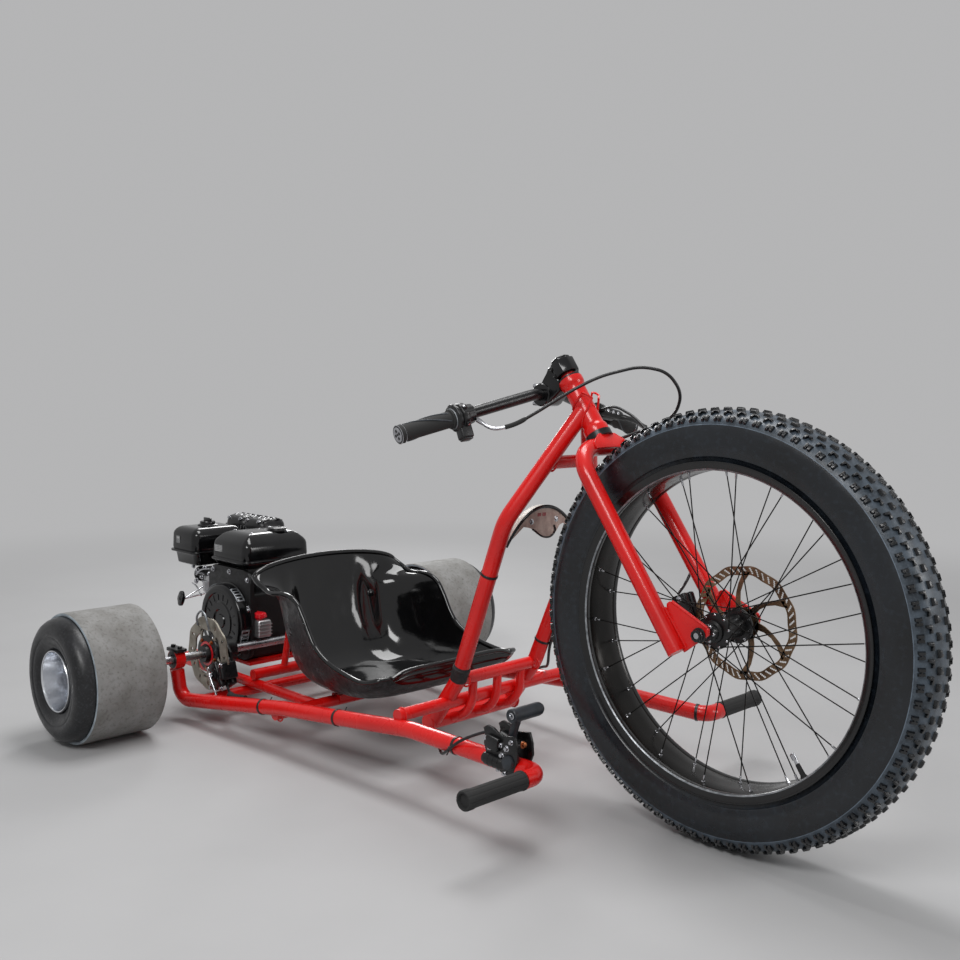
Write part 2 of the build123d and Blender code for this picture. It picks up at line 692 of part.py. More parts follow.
def front_spokes():
    spokes = []
    for _, side in SIDES:
        for k in range(SPOKE_COUNT):
            start, end = spoke_ends(side, k)
            spokes += rod(start, end, SPOKE_R).solids()
    return Compound(children=spokes)


def ring_plate(x, z, y, thickness, radius, band, hub_r, bore, arms):
    """Brake disc or sprocket: a band and a hub ring joined by arms."""
    low = y - thickness / 2
    high = y + thickness / 2
    plate = disc_y(x, z, low, high, radius, radius - band)
    plate += disc_y(x, z, low, high, hub_r, bore)
    for k in range(arms):
        turn = Pos(x, y, z) * Rot(0, 360 / arms * k, 0)
        reach = radius - band - hub_r + 6
        plate += turn * Pos(hub_r - 3 + reach / 2, 0, 0) * Box(reach, thickness, 9)
    return plate


def front_rotor():
    return ring_plate(WHEELBASE, FRONT_R, ROTOR_Y, ROTOR_T, ROTOR_R, ROTOR_BAND, ROTOR_HUB_R,
                      ROTOR_BORE_R, 6)


def front_caliper():
    """Two-piece caliper over the rotor's rim behind the left leg, with its bracket."""
    centre = steer(76, 76 - FORK_OFFSET + 26, ROTOR_Y)
    body = Plane(origin=centre, x_dir=AXIS_REAR, z_dir=Vector(0, 1, 0)) * Box(34, 58, 34)
    slot = disc_y(WHEELBASE, FRONT_R, ROTOR_Y - 3, ROTOR_Y + 3, ROTOR_R + 4)
    body -= slot
    lug = Plane(origin=steer(76, 24, 70), x_dir=AXIS_REAR, z_dir=Vector(0, 1, 0)) * Box(40, 30, 8)
    body += lug
    return body - rod(steer(-60, 0, LEG_Y), steer(250, 0, LEG_Y), LEG_R + SEAT_GAP)


# ---------------------------------------------------------------- rear axle

def axle_shaft():
    """Solid live axle, turned down to a stud at each end."""
    shoulder = AXLE_SHAFT_END - AXLE_STUD_LENGTH
    shaft = rod((0, -shoulder, REAR_R), (0, shoulder, REAR_R), AXLE_SHAFT_R)
    return shaft + rod((0, -AXLE_SHAFT_END, REAR_R), (0, AXLE_SHAFT_END, REAR_R), AXLE_STUD_R)


def kart_tyre(side):
    """Slick kart tyre whose tread is squeezed inside the sleeve."""
    bead = KART_RIM_R + RUBBER_GAP
    tread = REAR_R - SLEEVE_T - RUBBER_GAP
    inner = [(bead, KART_RIM_IN_Y + 6), (bead + 14, KART_IN_Y + 3), (bead + 34, KART_IN_Y),
             (tread - 14, KART_IN_Y + 3), (tread - 3, SLEEVE_IN_Y - 3), (tread, SLEEVE_IN_Y + 3)]
    outer = [(bead, KART_RIM_OUT_Y - 12), (bead + 14, KART_OUT_Y - 4), (bead + 34, KART_OUT_Y),
             (tread - 14, KART_OUT_Y - 7), (tread - 3, SLEEVE_OUT_Y + 8), (tread, SLEEVE_OUT_Y - 2)]
    outline = [(r, side * y) for r, y in inner] + [(r, side * y) for r, y in reversed(outer)]
    return turned_y(0, REAR_R, outline)


def sleeve(side):
    ends = sorted((side * SLEEVE_IN_Y, side * SLEEVE_OUT_Y))
    return disc_y(0, REAR_R, ends[0], ends[1], REAR_R, REAR_R - SLEEVE_T)


def kart_rim(side):
    """Aluminium rim: barrel, web and hub on the axle."""
    ends = sorted((side * KART_RIM_IN_Y, side * KART_RIM_OUT_Y))
    rim = disc_y(0, REAR_R, ends[0], ends[1], KART_RIM_R, KART_RIM_R - KART_RIM_T)
    web = sorted((side * KART_DISC_Y, side * (KART_DISC_Y + KART_DISC_T)))
    rim += disc_y(0, REAR_R, web[0], web[1], KART_RIM_R - 1, AXLE_SHAFT_R + RUN_GAP)
    hub = sorted((side * (KART_DISC_Y - KART_HUB_HALF), side * (KART_DISC_Y + KART_HUB_HALF)))
    return rim + disc_y(0, REAR_R, hub[0], hub[1], KART_HUB_R, AXLE_SHAFT_R + RUN_GAP)


def rear_disc():
    bore = AXLE_SHAFT_R + RUN_GAP
    plate = ring_plate(0, REAR_R, REAR_DISC_Y, REAR_DISC_T, REAR_DISC_R, DISC_BAND, 30, bore, 6)
    return plate + disc_y(0, REAR_R, REAR_DISC_Y, REAR_DISC_Y + 46, 24, bore)


def pitch_radius(teeth):
    return CHAIN_PITCH / 2 / math.sin(math.pi / teeth)


def sprocket_plate(x, z, teeth, width, bore):
    return disc_y(x, z, CHAIN_Y - width / 2, CHAIN_Y + width / 2,
                  pitch_radius(teeth) - CHAIN_HALF_HEIGHT - 0.5, bore)


def rear_sprocket():
    bore = AXLE_SHAFT_R + RUN_GAP
    plate = sprocket_plate(0, REAR_R, SPROCKET_TEETH, 4, bore)
    return plate + disc_y(0, REAR_R, CHAIN_Y, CHAIN_Y + 40, 26, bore)


def rear_caliper():
    """Caliper over the lower front of the rear disc, on a tab from the rear cross tube."""
    centre = Vector(62, REAR_DISC_Y, REAR_R - 42)
    body = Pos(*centre) * Rot(0, 34, 0) * Box(44, 46, 78)
    body -= rod((REAR_CROSS_X, -400, REAR_CROSS_Z), (REAR_CROSS_X, 400, REAR_CROSS_Z),
                BRACE_R + SEAT_GAP)
    body -= disc_y(0, REAR_R, REAR_DISC_Y - REAR_DISC_T / 2 - 1.5, REAR_DISC_Y + REAR_DISC_T / 2 + 1.5,
                   REAR_DISC_R + 5)
    body -= disc_y(0, REAR_R, REAR_DISC_Y, REAR_DISC_Y + 60, 30)
    return max(body.solids(), key=lambda s: s.volume)


# ---------------------------------------------------------------- engine

def engine_block():
    """Crankcase and tilted finned cylinder of the engine as one plain block."""
    case = block((CASE[0][0], CASE[0][1], ENGINE_BASE_Z), CASE[1], 8)
    cylinder = Pos(*CYLINDER_AT) * Rot(0, CYLINDER_LEAN, 0) * Box(*CYLINDER_SIZE)
    over = block((MUFFLER[0][0], TANK[0][1], MUFFLER[0][2] - SEAT_GAP), (0, MUFFLER[1][1], MUFFLER[1][2]))
    body = case + (cylinder - cylinder_fins()) - clutch_space() - over
    return body - grown_block(CARBURETTOR, SEAT_GAP) - grown_block(AIR_BOX, SEAT_GAP)


def cylinder_fins():
    """Grooves between the cooling fins, cut into the cylinder's left side."""
    length, width, height = CYLINDER_SIZE
    grooves = []
    for k in range(6):
        across = -length / 2 + 8 + k * FIN_PITCH
        groove = Pos(across, width / 2, 0) * Box(FIN_PITCH - FIN_T, 2 * FIN_DEPTH, height + 2)
        grooves += (Pos(*CYLINDER_AT) * Rot(0, CYLINDER_LEAN, 0) * groove).solids()
    return Compound(children=grooves)


def grown_block(corners, gap):
    low, high = corners
    return block([c - gap for c in low], [c + gap for c in high])


def clutch_space():
    return disc_y(CRANK_X, CRANK_Z, CASE[1][1], CASE[1][1] + 80, 60)


def recoil_housing():
    """Fan shroud with the starter's drum, whose rim has cooling slots."""
    shroud = block(SHROUD[0], SHROUD[1], 5)
    drum = disc_y(CRANK_X, CRANK_Z, RECOIL_FACE_Y, SHROUD[0][1], RECOIL_R)
    depth = SHROUD[0][1] - RECOIL_FACE_Y
    for k in range(RECOIL_SLOTS):
        turn = Pos(CRANK_X, RECOIL_FACE_Y + depth / 2, CRANK_Z) * Rot(0, 360 / RECOIL_SLOTS * k, 0)
        drum -= turn * Pos(RECOIL_R, 0, 0) * Box(8, depth - 12, 22)
    drum = fillet(drum.edges().filter_by(GeomType.CIRCLE).group_by(Axis.Y)[0], 5)
    return shroud + drum


def seamed_box(corners, seam_z):
    """Pressed box with chamfered upper edges inside a seam flange of the given corners' width."""
    low, high = corners
    box = block((low[0] + SEAM_PROUD, low[1] + SEAM_PROUD, low[2]),
                (high[0] - SEAM_PROUD, high[1] - SEAM_PROUD, high[2]))
    box = fillet(box.edges().filter_by(Axis.Z), BOX_CORNER)
    box = chamfer(box.edges().group_by(Axis.Z)[-1], BOX_CHAMFER)
    flange = block((low[0], low[1], seam_z), (high[0], high[1], seam_z + SEAM_T))
    return box + fillet(flange.edges().filter_by(Axis.Z), BOX_CORNER)


def fuel_tank():
    """Tank with its seam and filler cap."""
    tank = seamed_box(TANK, TANK[0][2] + 18)
    middle = [(TANK[0][i] + TANK[1][i]) / 2 for i in range(3)]
    return tank + Pos(middle[0], middle[1] + 30, TANK[1][2] + 4) * Cylinder(CAP_R, 12)


def air_cleaner():
    """Air cleaner box with its wing knob on top."""
    box = seamed_box(AIR_BOX, AIR_BOX[0][2] + 34)
    middle = [(AIR_BOX[0][i] + AIR_BOX[1][i]) / 2 for i in range(3)]
    top = Vector(middle[0], middle[1], AIR_BOX[1][2])
    knob = Pos(*(top + Vector(0, 0, 3))) * Cylinder(KNOB_R, 10)
    return box + knob + Pos(*(top + Vector(0, 0, 12))) * Box(2 * KNOB_R - 6, 10, 10)


def muffler():
    """Silencer under a heat shield of two slotted lobes."""
    low, high = MUFFLER
    middle = (low[0] + high[0]) / 2
    lobes = block(low, (middle + 4, high[1], high[2]), 20)
    lobes += block((middle - 4, low[1], low[2]), high, 20)
    for k in range(6):
        x = low[0] + 27 + 23 * k
        lobes -= block((x, low[1] + 14, high[2] - 6), (x + SHIELD_SLOT, high[1] - 14, high[2] + 1))
    return lobes


def oil_filler():
    """Cast oil neck on the crankcase's front, above the axle, with its screw cap."""
    back = CASE[1][0] + SEAT_GAP
    low = REAR_R + AXLE_SHAFT_R + OIL_CLEAR
    length, width, height = OIL_BLOCK
    neck = block((back, OIL_Y - width / 2, low), (back + length, OIL_Y + width / 2, low + height), 4)
    return neck + Pos(back + length - OIL_CAP_R, OIL_Y, low + height + 9) * Cylinder(OIL_CAP_R, 18)


def carburettor():
    return block(CARBURETTOR[0], CARBURETTOR[1], 4)


def clutch():
    drum = disc_y(CRANK_X, CRANK_Z, CASE[1][1] + SEAT_GAP, CHAIN_Y - CHAIN_HALF_WIDTH - 4, 44)
    teeth = sprocket_plate(CRANK_X, CRANK_Z, CLUTCH_TEETH, 4, 0)
    nose = disc_y(CRANK_X, CRANK_Z, CHAIN_Y - CHAIN_HALF_WIDTH - 5, CHAIN_Y + 14, 13)
    return drum + teeth + nose


def chain_span():
    """Length and slope of the line from the clutch to the axle, and where the runs touch."""
    span = math.hypot(CRANK_X, REAR_R - CRANK_Z)
    slope = math.atan2(REAR_R - CRANK_Z, -CRANK_X)
    touch = math.acos((pitch_radius(CLUTCH_TEETH) - pitch_radius(SPROCKET_TEETH)) / span)
    return span, slope, touch


def chain_points():
    """Middles of the chain's rollers, from the clutch along the upper run and back."""
    span, slope, touch = chain_span()
    small = pitch_radius(CLUTCH_TEETH)
    large = pitch_radius(SPROCKET_TEETH)
    run = span * math.sin(touch)
    stretches = (run, 2 * touch * large, run, 2 * (math.pi - touch) * small)
    count = round(sum(stretches) / CHAIN_PITCH)
    points = []
    for k in range(count):
        along = sum(stretches) * k / count
        if along < stretches[0]:
            points.append(run_point(slope + touch, along / run))
        elif along < sum(stretches[:2]):
            angle = slope + touch - (along - stretches[0]) / large
            points.append((large * math.cos(angle), REAR_R + large * math.sin(angle)))
        elif along < sum(stretches[:3]):
            points.append(run_point(slope - touch, 1 - (along - sum(stretches[:2])) / run))
        else:
            angle = slope - touch - (along - sum(stretches[:3])) / small
            points.append((CRANK_X + small * math.cos(angle), CRANK_Z + small * math.sin(angle)))
    return points


def run_point(angle, share):
    """Point on a straight run, from the clutch's side at 0 to the axle's at 1."""
    radii = (pitch_radius(CLUTCH_TEETH), pitch_radius(SPROCKET_TEETH))
    start = (CRANK_X + radii[0] * math.cos(angle), CRANK_Z + radii[0] * math.sin(angle))
    end = (radii[1] * math.cos(angle), REAR_R + radii[1] * math.sin(angle))
    return start[0] + (end[0] - start[0]) * share, start[1] + (end[1] - start[1]) * share


def chain_loop(offset):
    """Solid inside the chain's line, grown by an offset."""
    low = CHAIN_Y - CHAIN_HALF_WIDTH
    _, slope, touch = chain_span()
    circles = ((CRANK_X, CRANK_Z, pitch_radius(CLUTCH_TEETH) + offset),
               (0, REAR_R, pitch_radius(SPROCKET_TEETH) + offset))
    ends = [disc_y(x, z, low, low + 2 * CHAIN_HALF_WIDTH, r) for x, z, r in circles]
    corners = []
    for angle, order in ((slope + touch, circles), (slope - touch, circles[::-1])):
        corners += [Vector(x + r * math.cos(angle), low, z + r * math.sin(angle)) for x, z, r in order]
    web = extrude(make_face(Polyline(*corners, close=True)), 2 * CHAIN_HALF_WIDTH, dir=Vector(0, 1, 0))
    return ends[0] + ends[1] + web


def chain():
    """Closed roller chain loop round the clutch and axle sprockets, with its links' round ends."""
    waist = CHAIN_HALF_HEIGHT - CHAIN_WAIST
    band = chain_loop(waist) - chain_loop(-waist)
    links = []
    for x, z in chain_points():
        face = Plane(origin=(x, CHAIN_Y - CHAIN_HALF_WIDTH, z), z_dir=(0, 1, 0)) * RegularPolygon(
            CHAIN_HALF_HEIGHT, 8)
        links += extrude(face, 2 * CHAIN_HALF_WIDTH).solids()
    return band + links


def engine_plate():
    """Base plate across the cradle's runners, cut back at the front beside the chain."""
    low = ENGINE_PLATE_Z
    high = low + ENGINE_PLATE_T
    half = RUNNER_Y + RUNNER_R
    plate = block((CASE[0][0] - 37, -half, low), (CRANK_X + 15, half, high))
    return plate + block((CRANK_X, CASE[0][1] - 10, low), (CASE[1][0] + 23, CASE[1][1] + 10, high))


# ---------------------------------------------------------------- seat

# Stations down the back and forward along the pan: shell point, rim point, half width at the
# bottom of the section and at the rim. Points are (share of the seat's length, height).
SEAT_STATIONS = (
    ((0.0, 377), (0.055, 371), 150, 168),
    ((0.009, 338), (0.208, 330), 160, 200),
    ((0.025, 290), (0.364, 318), 165, 212),
    ((0.051, 235), (0.462, 250), 168, 212),
    ((0.089, 172), (0.547, 212), 170, 211),
    ((0.186, 112), (0.623, 190), 172, 210),
    ((0.373, 88), (0.712, 174), 174, 210),
    ((0.606, 92), (0.818, 172), 176, 210),
    ((0.839, 122), (0.928, 182), 180, 210),
    ((1.0, 164), (1.0, 190), 185, 208),
)


def seat_point(share, z):
    return SEAT_BACK_X + share * SEAT_LENGTH, z


def seat_section(low, rim, half_low, half_rim):
    """U-shaped strip across the seat, in the plane of its shell and rim points."""
    low = seat_point(*low)
    rim = seat_point(*rim)
    up = Vector(rim[0] - low[0], 0, rim[1] - low[1])
    height = up.length
    plane = Plane(origin=(low[0], 0, low[1]), x_dir=(0, 1, 0), z_dir=Vector(0, 1, 0).cross(up))
    corner = min(SEAT_CORNER, height * 0.7)

    def half_line(inset):
        radius = max(corner - inset, 1.0)
        bottom = half_low - inset
        points = [(bottom - radius, inset)]
        for k in range(1, 4):
            angle = math.radians(30 * k)
            points.append((bottom - radius + radius * math.sin(angle),
                           inset + radius - radius * math.cos(angle)))
        points.append((half_rim - inset, height))
        return points

    outer = half_line(0)
    inner = half_line(SEAT_T)
    ring = outer + inner[::-1]
    mirrored = [(-y, h) for y, h in inner] + [(-y, h) for y, h in outer[::-1]]
    return plane * make_face(Polyline(*ring, *mirrored, close=True))


def seat_shell():
    sections = [seat_section(*station) for station in SEAT_STATIONS]
    return loft(sections, ruled=True)


# ---------------------------------------------------------------- cables

def bend_radii(points, least):
    """Arc for each inner point: 0.45 of its shorter run over the half turn's tangent."""
    radii = []
    for before, here, after in zip(points, points[1:], points[2:]):
        run = min((here - before).length, (after - here).length)
        turn = math.radians((here - before).get_angle(after - here))
        radii.append(round(min(0.45 * run / math.tan(turn / 2), 400.0), 2))
    print("bend radii", radii, "tight" if min(radii) < least else "")
    return radii


def cable(points, radius):
    """Cable or hose along straight runs with tangent arcs."""
    corners = [Vector(*p) if isinstance(p, tuple) else p for p in points]
    return tube(corners, radius, bend_radii(corners, 5 * radius))


def leg_side(s, out=0.0, rear=0.0):
    """Point beside the left leg for a line of the hose's size, out from its outer side."""
    return steer(s, rear, LEG_Y + LEG_R + HOSE_R + CABLE_GAP + out)


def throttle_cable():
    """Loop from the throttle ahead of the head tube to a clip at the crown's left."""
    _, root = bar_points(-1, THROTTLE_INNER)
    loop = ((494.3, 85.1, -170), (485.8, 55.6, -140), (493.6, 19.6, -100), (505, -28.6, -50),
            (503.3, -76.3, -20), (488.5, -130.6, 30), (457.4, -157.7, 60), (415.9, -150.6, 80),
            (394.9, -112.7, 90), (396, -70, 84), (407, -34, 68), (413, 2, 52))
    shift = CROWN_S - 398.0
    points = [steer(s + shift, rear, y) for s, rear, y in loop]
    return cable([root + Vector(15, 3.6, -9)] + points, CABLE_R)


def front_brake_hose():
    """Hose from the lever's master cylinder down the left leg to the front caliper."""
    _, root = bar_points(1, GRIP_LENGTH + 20)
    return cable([root + Vector(19.2, -29.4, 8.4), steer(BAR_S - 43, 36.6, 150), steer(CROWN_S + 48, -14.6, 125),
                  steer(CROWN_S - 35, -29.3, 112), leg_side(CROWN_S - 88), leg_side(190),
                  leg_side(140, 0, 22), steer(120, 41, 86), steer(107.8, 48, 64)], HOSE_R)


def ahead_of_tube(point, along):
    """Place for a cable's centre line ahead of a down tube's, square to its run."""
    ahead = Vector(1, 0, 0)
    ahead = (ahead - along * ahead.dot(along)).normalized()
    return point + ahead * (TUBE_R + CABLE_R + 4 * CABLE_GAP)


def throttle_line():
    """Throttle cable's run on the frame, down the left tube and along its rail to the engine."""
    top, knee, low = down_tube_points(1)[:3]
    upper = (knee - top).normalized()
    lower = (low - knee).normalized()
    ahead_y, ahead_z = rail_at(SEAT_CROSS_X + 130)
    return cable([ahead_of_tube(point_on_down_tube(1, BRACE_Z - 45), upper), ahead_of_tube(knee, upper),
                  ahead_of_tube(low - lower * 55, lower),
                  Vector(CROSS_X + 32, 146, CROSS_Z + 34), Vector(CROSS_X - 8, 176, CROSS_Z + 21),
                  Vector(CROSS_X - 84, 208, CROSS_Z - 12),
                  Vector(SEAT_CROSS_X + 130, ahead_y - 34, ahead_z + 10),
                  Vector(SEAT_CROSS_X + 56, 228, RUNNER_Z + 34), Vector(SEAT_CROSS_X - 40, 240, RUNNER_Z + 28),
                  Vector(150, 250, 104), Vector(70, 240, 150), Vector(0, 222, 205), Vector(-70, 205, 262),
                  Vector(-160, 185, 296), Vector(-250, 160, 300), Vector(-322, 110, 293),
                  Vector(-338, 40, 284), Vector(-334, -22, 276),
                  Vector(CARBURETTOR[0][0] - SEAT_GAP - CABLE_R, -66, 271)], CABLE_R)


def rear_brake_hose():
    """Hose from the pedal's cylinder round the peg arm and along the right rail to the caliper."""
    y = -RAIL_FRONT[1]
    z = RAIL_FRONT[2]
    near_y, near_z = rail_at(SEAT_CROSS_X + 230)
    mid_y, mid_z = rail_at(SEAT_CROSS_X + 30)
    rear_y, rear_z = rail_at(150)
    return cable([Vector(PEDAL_X - 64, y + 4, z + 46.4), Vector(PEDAL_X - 92, y - 6, z + 35),
                  Vector(PEDAL_X - 122, y - 20, z + 18), Vector(PEDAL_X - 150, y - 22, z - 6),
                  Vector(PEDAL_X - 178, y - 8, z - 23), Vector(PEDAL_X - 208, y + 12, z - 19),
                  Vector(PEDAL_X - 250, y + 22, z - 6), Vector(RAIL_FRONT[0] - 30, y + 23, z - 8),
                  Vector(SEAT_CROSS_X + 230, -near_y + 22, near_z - 3),
                  Vector(SEAT_CROSS_X + 30, -mid_y + 23, mid_z + 6), Vector(150, -rear_y + 24, rear_z + 10),
                  Vector(114, -248, 70), Vector(81, -238, 87.6)], HOSE_R)


PIECES = {
    "head_tube": head_tube,
    "headset": headset,
    "down_tube_right": lambda: down_tube(-1),
    "down_tube_left": lambda: down_tube(1),
    "down_tube_brace": down_tube_brace,
    "foot_guard": foot_guard,
    "foot_cross_tube": foot_cross_tube,
    "rail_right": lambda: rail(-1),
    "rail_left": lambda: rail(1),
    "foot_pegs": foot_pegs,
    "axle_carriers": axle_carriers,
    "front_cross_tube": front_cross_tube,
    "rear_cross_tube": rear_cross_tube,
    "cradle": cradle,
    "seat_cross_tube": seat_cross_tube,
    "seat_struts": seat_struts,
    "front_plate": front_plate,
    "brake_pedal": brake_pedal,
    "fork": fork,
    "dropouts": dropouts,
    "front_axle": front_axle,
    "stem": stem,
    "handlebar": handlebar,
    "grips": grips,
    "throttle_housing": throttle_housing,
    "brake_lever": brake_lever,
    "front_caliper": front_caliper,
    "throttle_cable": throttle_cable,
    "front_brake_hose": front_brake_hose,
    "throttle_line": throttle_line,
    "rear_brake_hose": rear_brake_hose,
    "front_tyre": front_tyre,
    "front_rim": front_rim,
    "front_hub": front_hub,
    "front_spokes": front_spokes,
    "front_rotor": front_rotor,
    "axle_shaft": axle_shaft,
    "kart_tyre_right": lambda: kart_tyre(-1),
    "kart_tyre_left": lambda: kart_tyre(1),
    "sleeve_right": lambda: sleeve(-1),
    "sleeve_left": lambda: sleeve(1),
    "kart_rim_right": lambda: kart_rim(-1),
    "kart_rim_left": lambda: kart_rim(1),
    "rear_disc": rear_disc,
    "rear_sprocket": rear_sprocket,
    "rear_caliper": rear_caliper,
    "engine_block": engine_block,
    "oil_filler": oil_filler,
    "recoil_housing": recoil_housing,
    "fuel_tank": fuel_tank,
    "air_cleaner": air_cleaner,
    "muffler": muffler,
    "carburettor": carburettor,
    "clutch": clutch,
    "chain": chain,
    "engine_plate": engine_plate,
    "seat_shell": seat_shell,
}

for name, make in PIECES.items():
    export(name, make())
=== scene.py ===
"""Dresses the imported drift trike: tyres, rims, seat, engine, controls and their finishes."""

import json
import logging
import math
from collections.abc import Callable, Sequence
from dataclasses import dataclass, field
from enum import Enum

import bmesh
import bpy
from mathutils import Matrix, Vector

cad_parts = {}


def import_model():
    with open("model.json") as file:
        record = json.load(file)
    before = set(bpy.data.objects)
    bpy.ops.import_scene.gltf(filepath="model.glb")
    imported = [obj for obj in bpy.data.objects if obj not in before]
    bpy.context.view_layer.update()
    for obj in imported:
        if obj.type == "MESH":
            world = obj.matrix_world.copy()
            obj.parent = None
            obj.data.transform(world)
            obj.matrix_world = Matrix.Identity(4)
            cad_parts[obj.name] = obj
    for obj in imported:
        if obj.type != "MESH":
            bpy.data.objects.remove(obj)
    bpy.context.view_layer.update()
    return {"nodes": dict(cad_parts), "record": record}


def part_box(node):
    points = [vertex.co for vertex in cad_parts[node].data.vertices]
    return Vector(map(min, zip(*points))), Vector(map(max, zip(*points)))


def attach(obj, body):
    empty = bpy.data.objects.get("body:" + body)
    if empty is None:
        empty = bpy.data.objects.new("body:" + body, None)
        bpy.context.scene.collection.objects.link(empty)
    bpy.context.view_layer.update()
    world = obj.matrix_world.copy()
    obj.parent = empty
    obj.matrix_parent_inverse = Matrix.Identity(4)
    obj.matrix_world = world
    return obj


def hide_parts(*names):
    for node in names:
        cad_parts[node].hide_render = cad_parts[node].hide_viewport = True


LOG = logging.getLogger("drift_trike")
Colour = tuple[float, float, float]
Point = tuple[float, float]
Socket = bpy.types.NodeSocket
Tree = bpy.types.NodeTree


class Body(str, Enum):
    """The moving bodies of the frame."""

    FRAME = "frame"
    STEERING = "steering"
    FRONT_WHEEL = "front_wheel"
    REAR_AXLE = "rear_axle"


class Side(Enum):
    """A side of the trike, with the sign of its Y."""

    RIGHT = -1
    LEFT = 1

    @property
    def word(self) -> str:
        """The side's name in lower case."""
        return self.name.lower()


class Grain(Enum):
    """The kind of small relief that a finish has."""

    CAST = "cast"
    PITS = "pits"
    BRUSHED = "brushed"


# --- finishes


def rgb(red: int, green: int, blue: int) -> Colour:
    """A linear colour from its display values of 0 to 255."""
    parts = [value / 255 for value in (red, green, blue)]
    linear = [p / 12.92 if p <= 0.04045 else ((p + 0.055) / 1.055) ** 2.4 for p in parts]
    return linear[0], linear[1], linear[2]


@dataclass(frozen=True)
class Finish:
    """A surface finish: two mottled colours, a roughness range, a fine relief and dust."""

    name: str
    colour: Colour
    shade: Colour
    patch: float = 14.0
    contrast: float = 0.25
    metallic: float = 0.0
    rough: Point = (0.35, 0.5)
    grain: float = 400.0
    relief: float = 0.15
    kind: Grain = Grain.CAST
    coat: float = 0.0
    shine: float = 0.5
    dust: Colour = (0.3, 0.3, 0.3)
    dusty: float = 0.0
    stretch: tuple[float, float, float] = (1.0, 1.0, 1.0)

    def material(self) -> bpy.types.Material:
        """The finish as a material, made once.

        Returns:
            The material with its nodes.
        """
        made = bpy.data.materials.get(self.name)
        if made is None:
            made = bpy.data.materials.new(self.name)
            made.use_nodes = True
            self._nodes(made.node_tree)
        return made

    def _nodes(self, tree: Tree) -> None:
        """Builds the finish's nodes.

        Args:
            tree: The material's node tree, with Blender's own shader and output in it.
        """
        shader = tree.nodes["Principled BSDF"]
        shader.inputs["Metallic"].default_value = self.metallic
        shader.inputs["Specular IOR Level"].default_value = self.shine
        shader.inputs["Coat Weight"].default_value = self.coat
        shader.inputs["Coat Roughness"].default_value = 0.08
        spot = tree.nodes.new("ShaderNodeTexCoord").outputs["Object"]
        patches = self._noise(tree, spot, self.patch, 6.0)
        low, high = 0.5 - self.contrast / 2, 0.5 + self.contrast / 2
        spread = self._range(tree, patches, (low, high), (0.0, 1.0))
        colour = self._mix(tree, spread, self.colour, self.shade)
        if self.dusty:
            specks = self._noise(tree, spot, self.patch * 9, 10.0)
            amount = self._range(tree, specks, (0.52, 0.78), (0.0, self.dusty))
            colour = self._mix(tree, amount, colour, self.dust)
        tree.links.new(colour, shader.inputs["Base Color"])
        sheen = self._range(tree, self._noise(tree, spot, self.patch * 3, 4.0), (0.3, 0.7), self.rough)
        tree.links.new(sheen, shader.inputs["Roughness"])
        tree.links.new(self._relief(tree, spot), shader.inputs["Normal"])

    def _relief(self, tree: Tree, spot: Socket) -> Socket:
        """Adds the fine relief.

        Args:
            tree: The material's node tree.
            spot: The socket that gives the place on the object.

        Returns:
            The socket of the bumped normal.
        """
        mapping = tree.nodes.new("ShaderNodeMapping")
        mapping.inputs["Scale"].default_value = self.stretch
        tree.links.new(spot, mapping.inputs["Vector"])
        if self.kind is Grain.PITS:
            cells = tree.nodes.new("ShaderNodeTexVoronoi")
            cells.inputs["Scale"].default_value = self.grain
            tree.links.new(mapping.outputs["Vector"], cells.inputs["Vector"])
            height = self._range(tree, cells.outputs["Distance"], (0.0, 0.35), (0.0, 1.0))
        else:
            height = self._noise(tree, mapping.outputs["Vector"], self.grain, 3.0)
        bump = tree.nodes.new("ShaderNodeBump")
        bump.inputs["Strength"].default_value = self.relief
        bump.inputs["Distance"].default_value = 0.001
        tree.links.new(height, bump.inputs["Height"])
        return bump.outputs["Normal"]

    @staticmethod
    def _noise(tree: Tree, spot: Socket, scale: float, detail: float) -> Socket:
        """Adds a noise texture and gives its factor.

        Args:
            tree: The material's node tree.
            spot: The socket that gives the place on the object.
            scale: Noise cells per metre.
            detail: Octaves.

        Returns:
            The noise's factor socket.
        """
        noise = tree.nodes.new("ShaderNodeTexNoise")
        noise.inputs["Scale"].default_value = scale
        noise.inputs["Detail"].default_value = detail
        tree.links.new(spot, noise.inputs["Vector"])
        return noise.outputs["Fac"]

    @staticmethod
    def _range(tree: Tree, value: Socket, source: Point, target: Point) -> Socket:
        """Maps a value from one range to another, clamped.

        Args:
            tree: The material's node tree.
            value: The socket to map.
            source: The range that it comes from.
            target: The range that it goes to.

        Returns:
            The mapped socket.
        """
        node = tree.nodes.new("ShaderNodeMapRange")
        for socket, number in zip(node.inputs[1:5], (*source, *target)):
            socket.default_value = number
        tree.links.new(value, node.inputs["Value"])
        return node.outputs["Result"]

    @staticmethod
    def _mix(tree: Tree, amount: Socket, first: Colour | Socket, second: Colour) -> Socket:
        """Mixes two colours.

        Args:
            tree: The material's node tree.
            amount: The socket of the second colour's share.
            first: The first colour, or the socket that gives it.
            second: The second colour.

        Returns:
            The mixed colour's socket.
        """
        node = tree.nodes.new("ShaderNodeMix")
        node.data_type = "RGBA"
        if isinstance(first, Socket):
            tree.links.new(first, node.inputs["A"])
        else:
            node.inputs[6].default_value = (*first, 1.0)
        node.inputs[7].default_value = (*second, 1.0)
        tree.links.new(amount, node.inputs[0])
        return node.outputs[2]


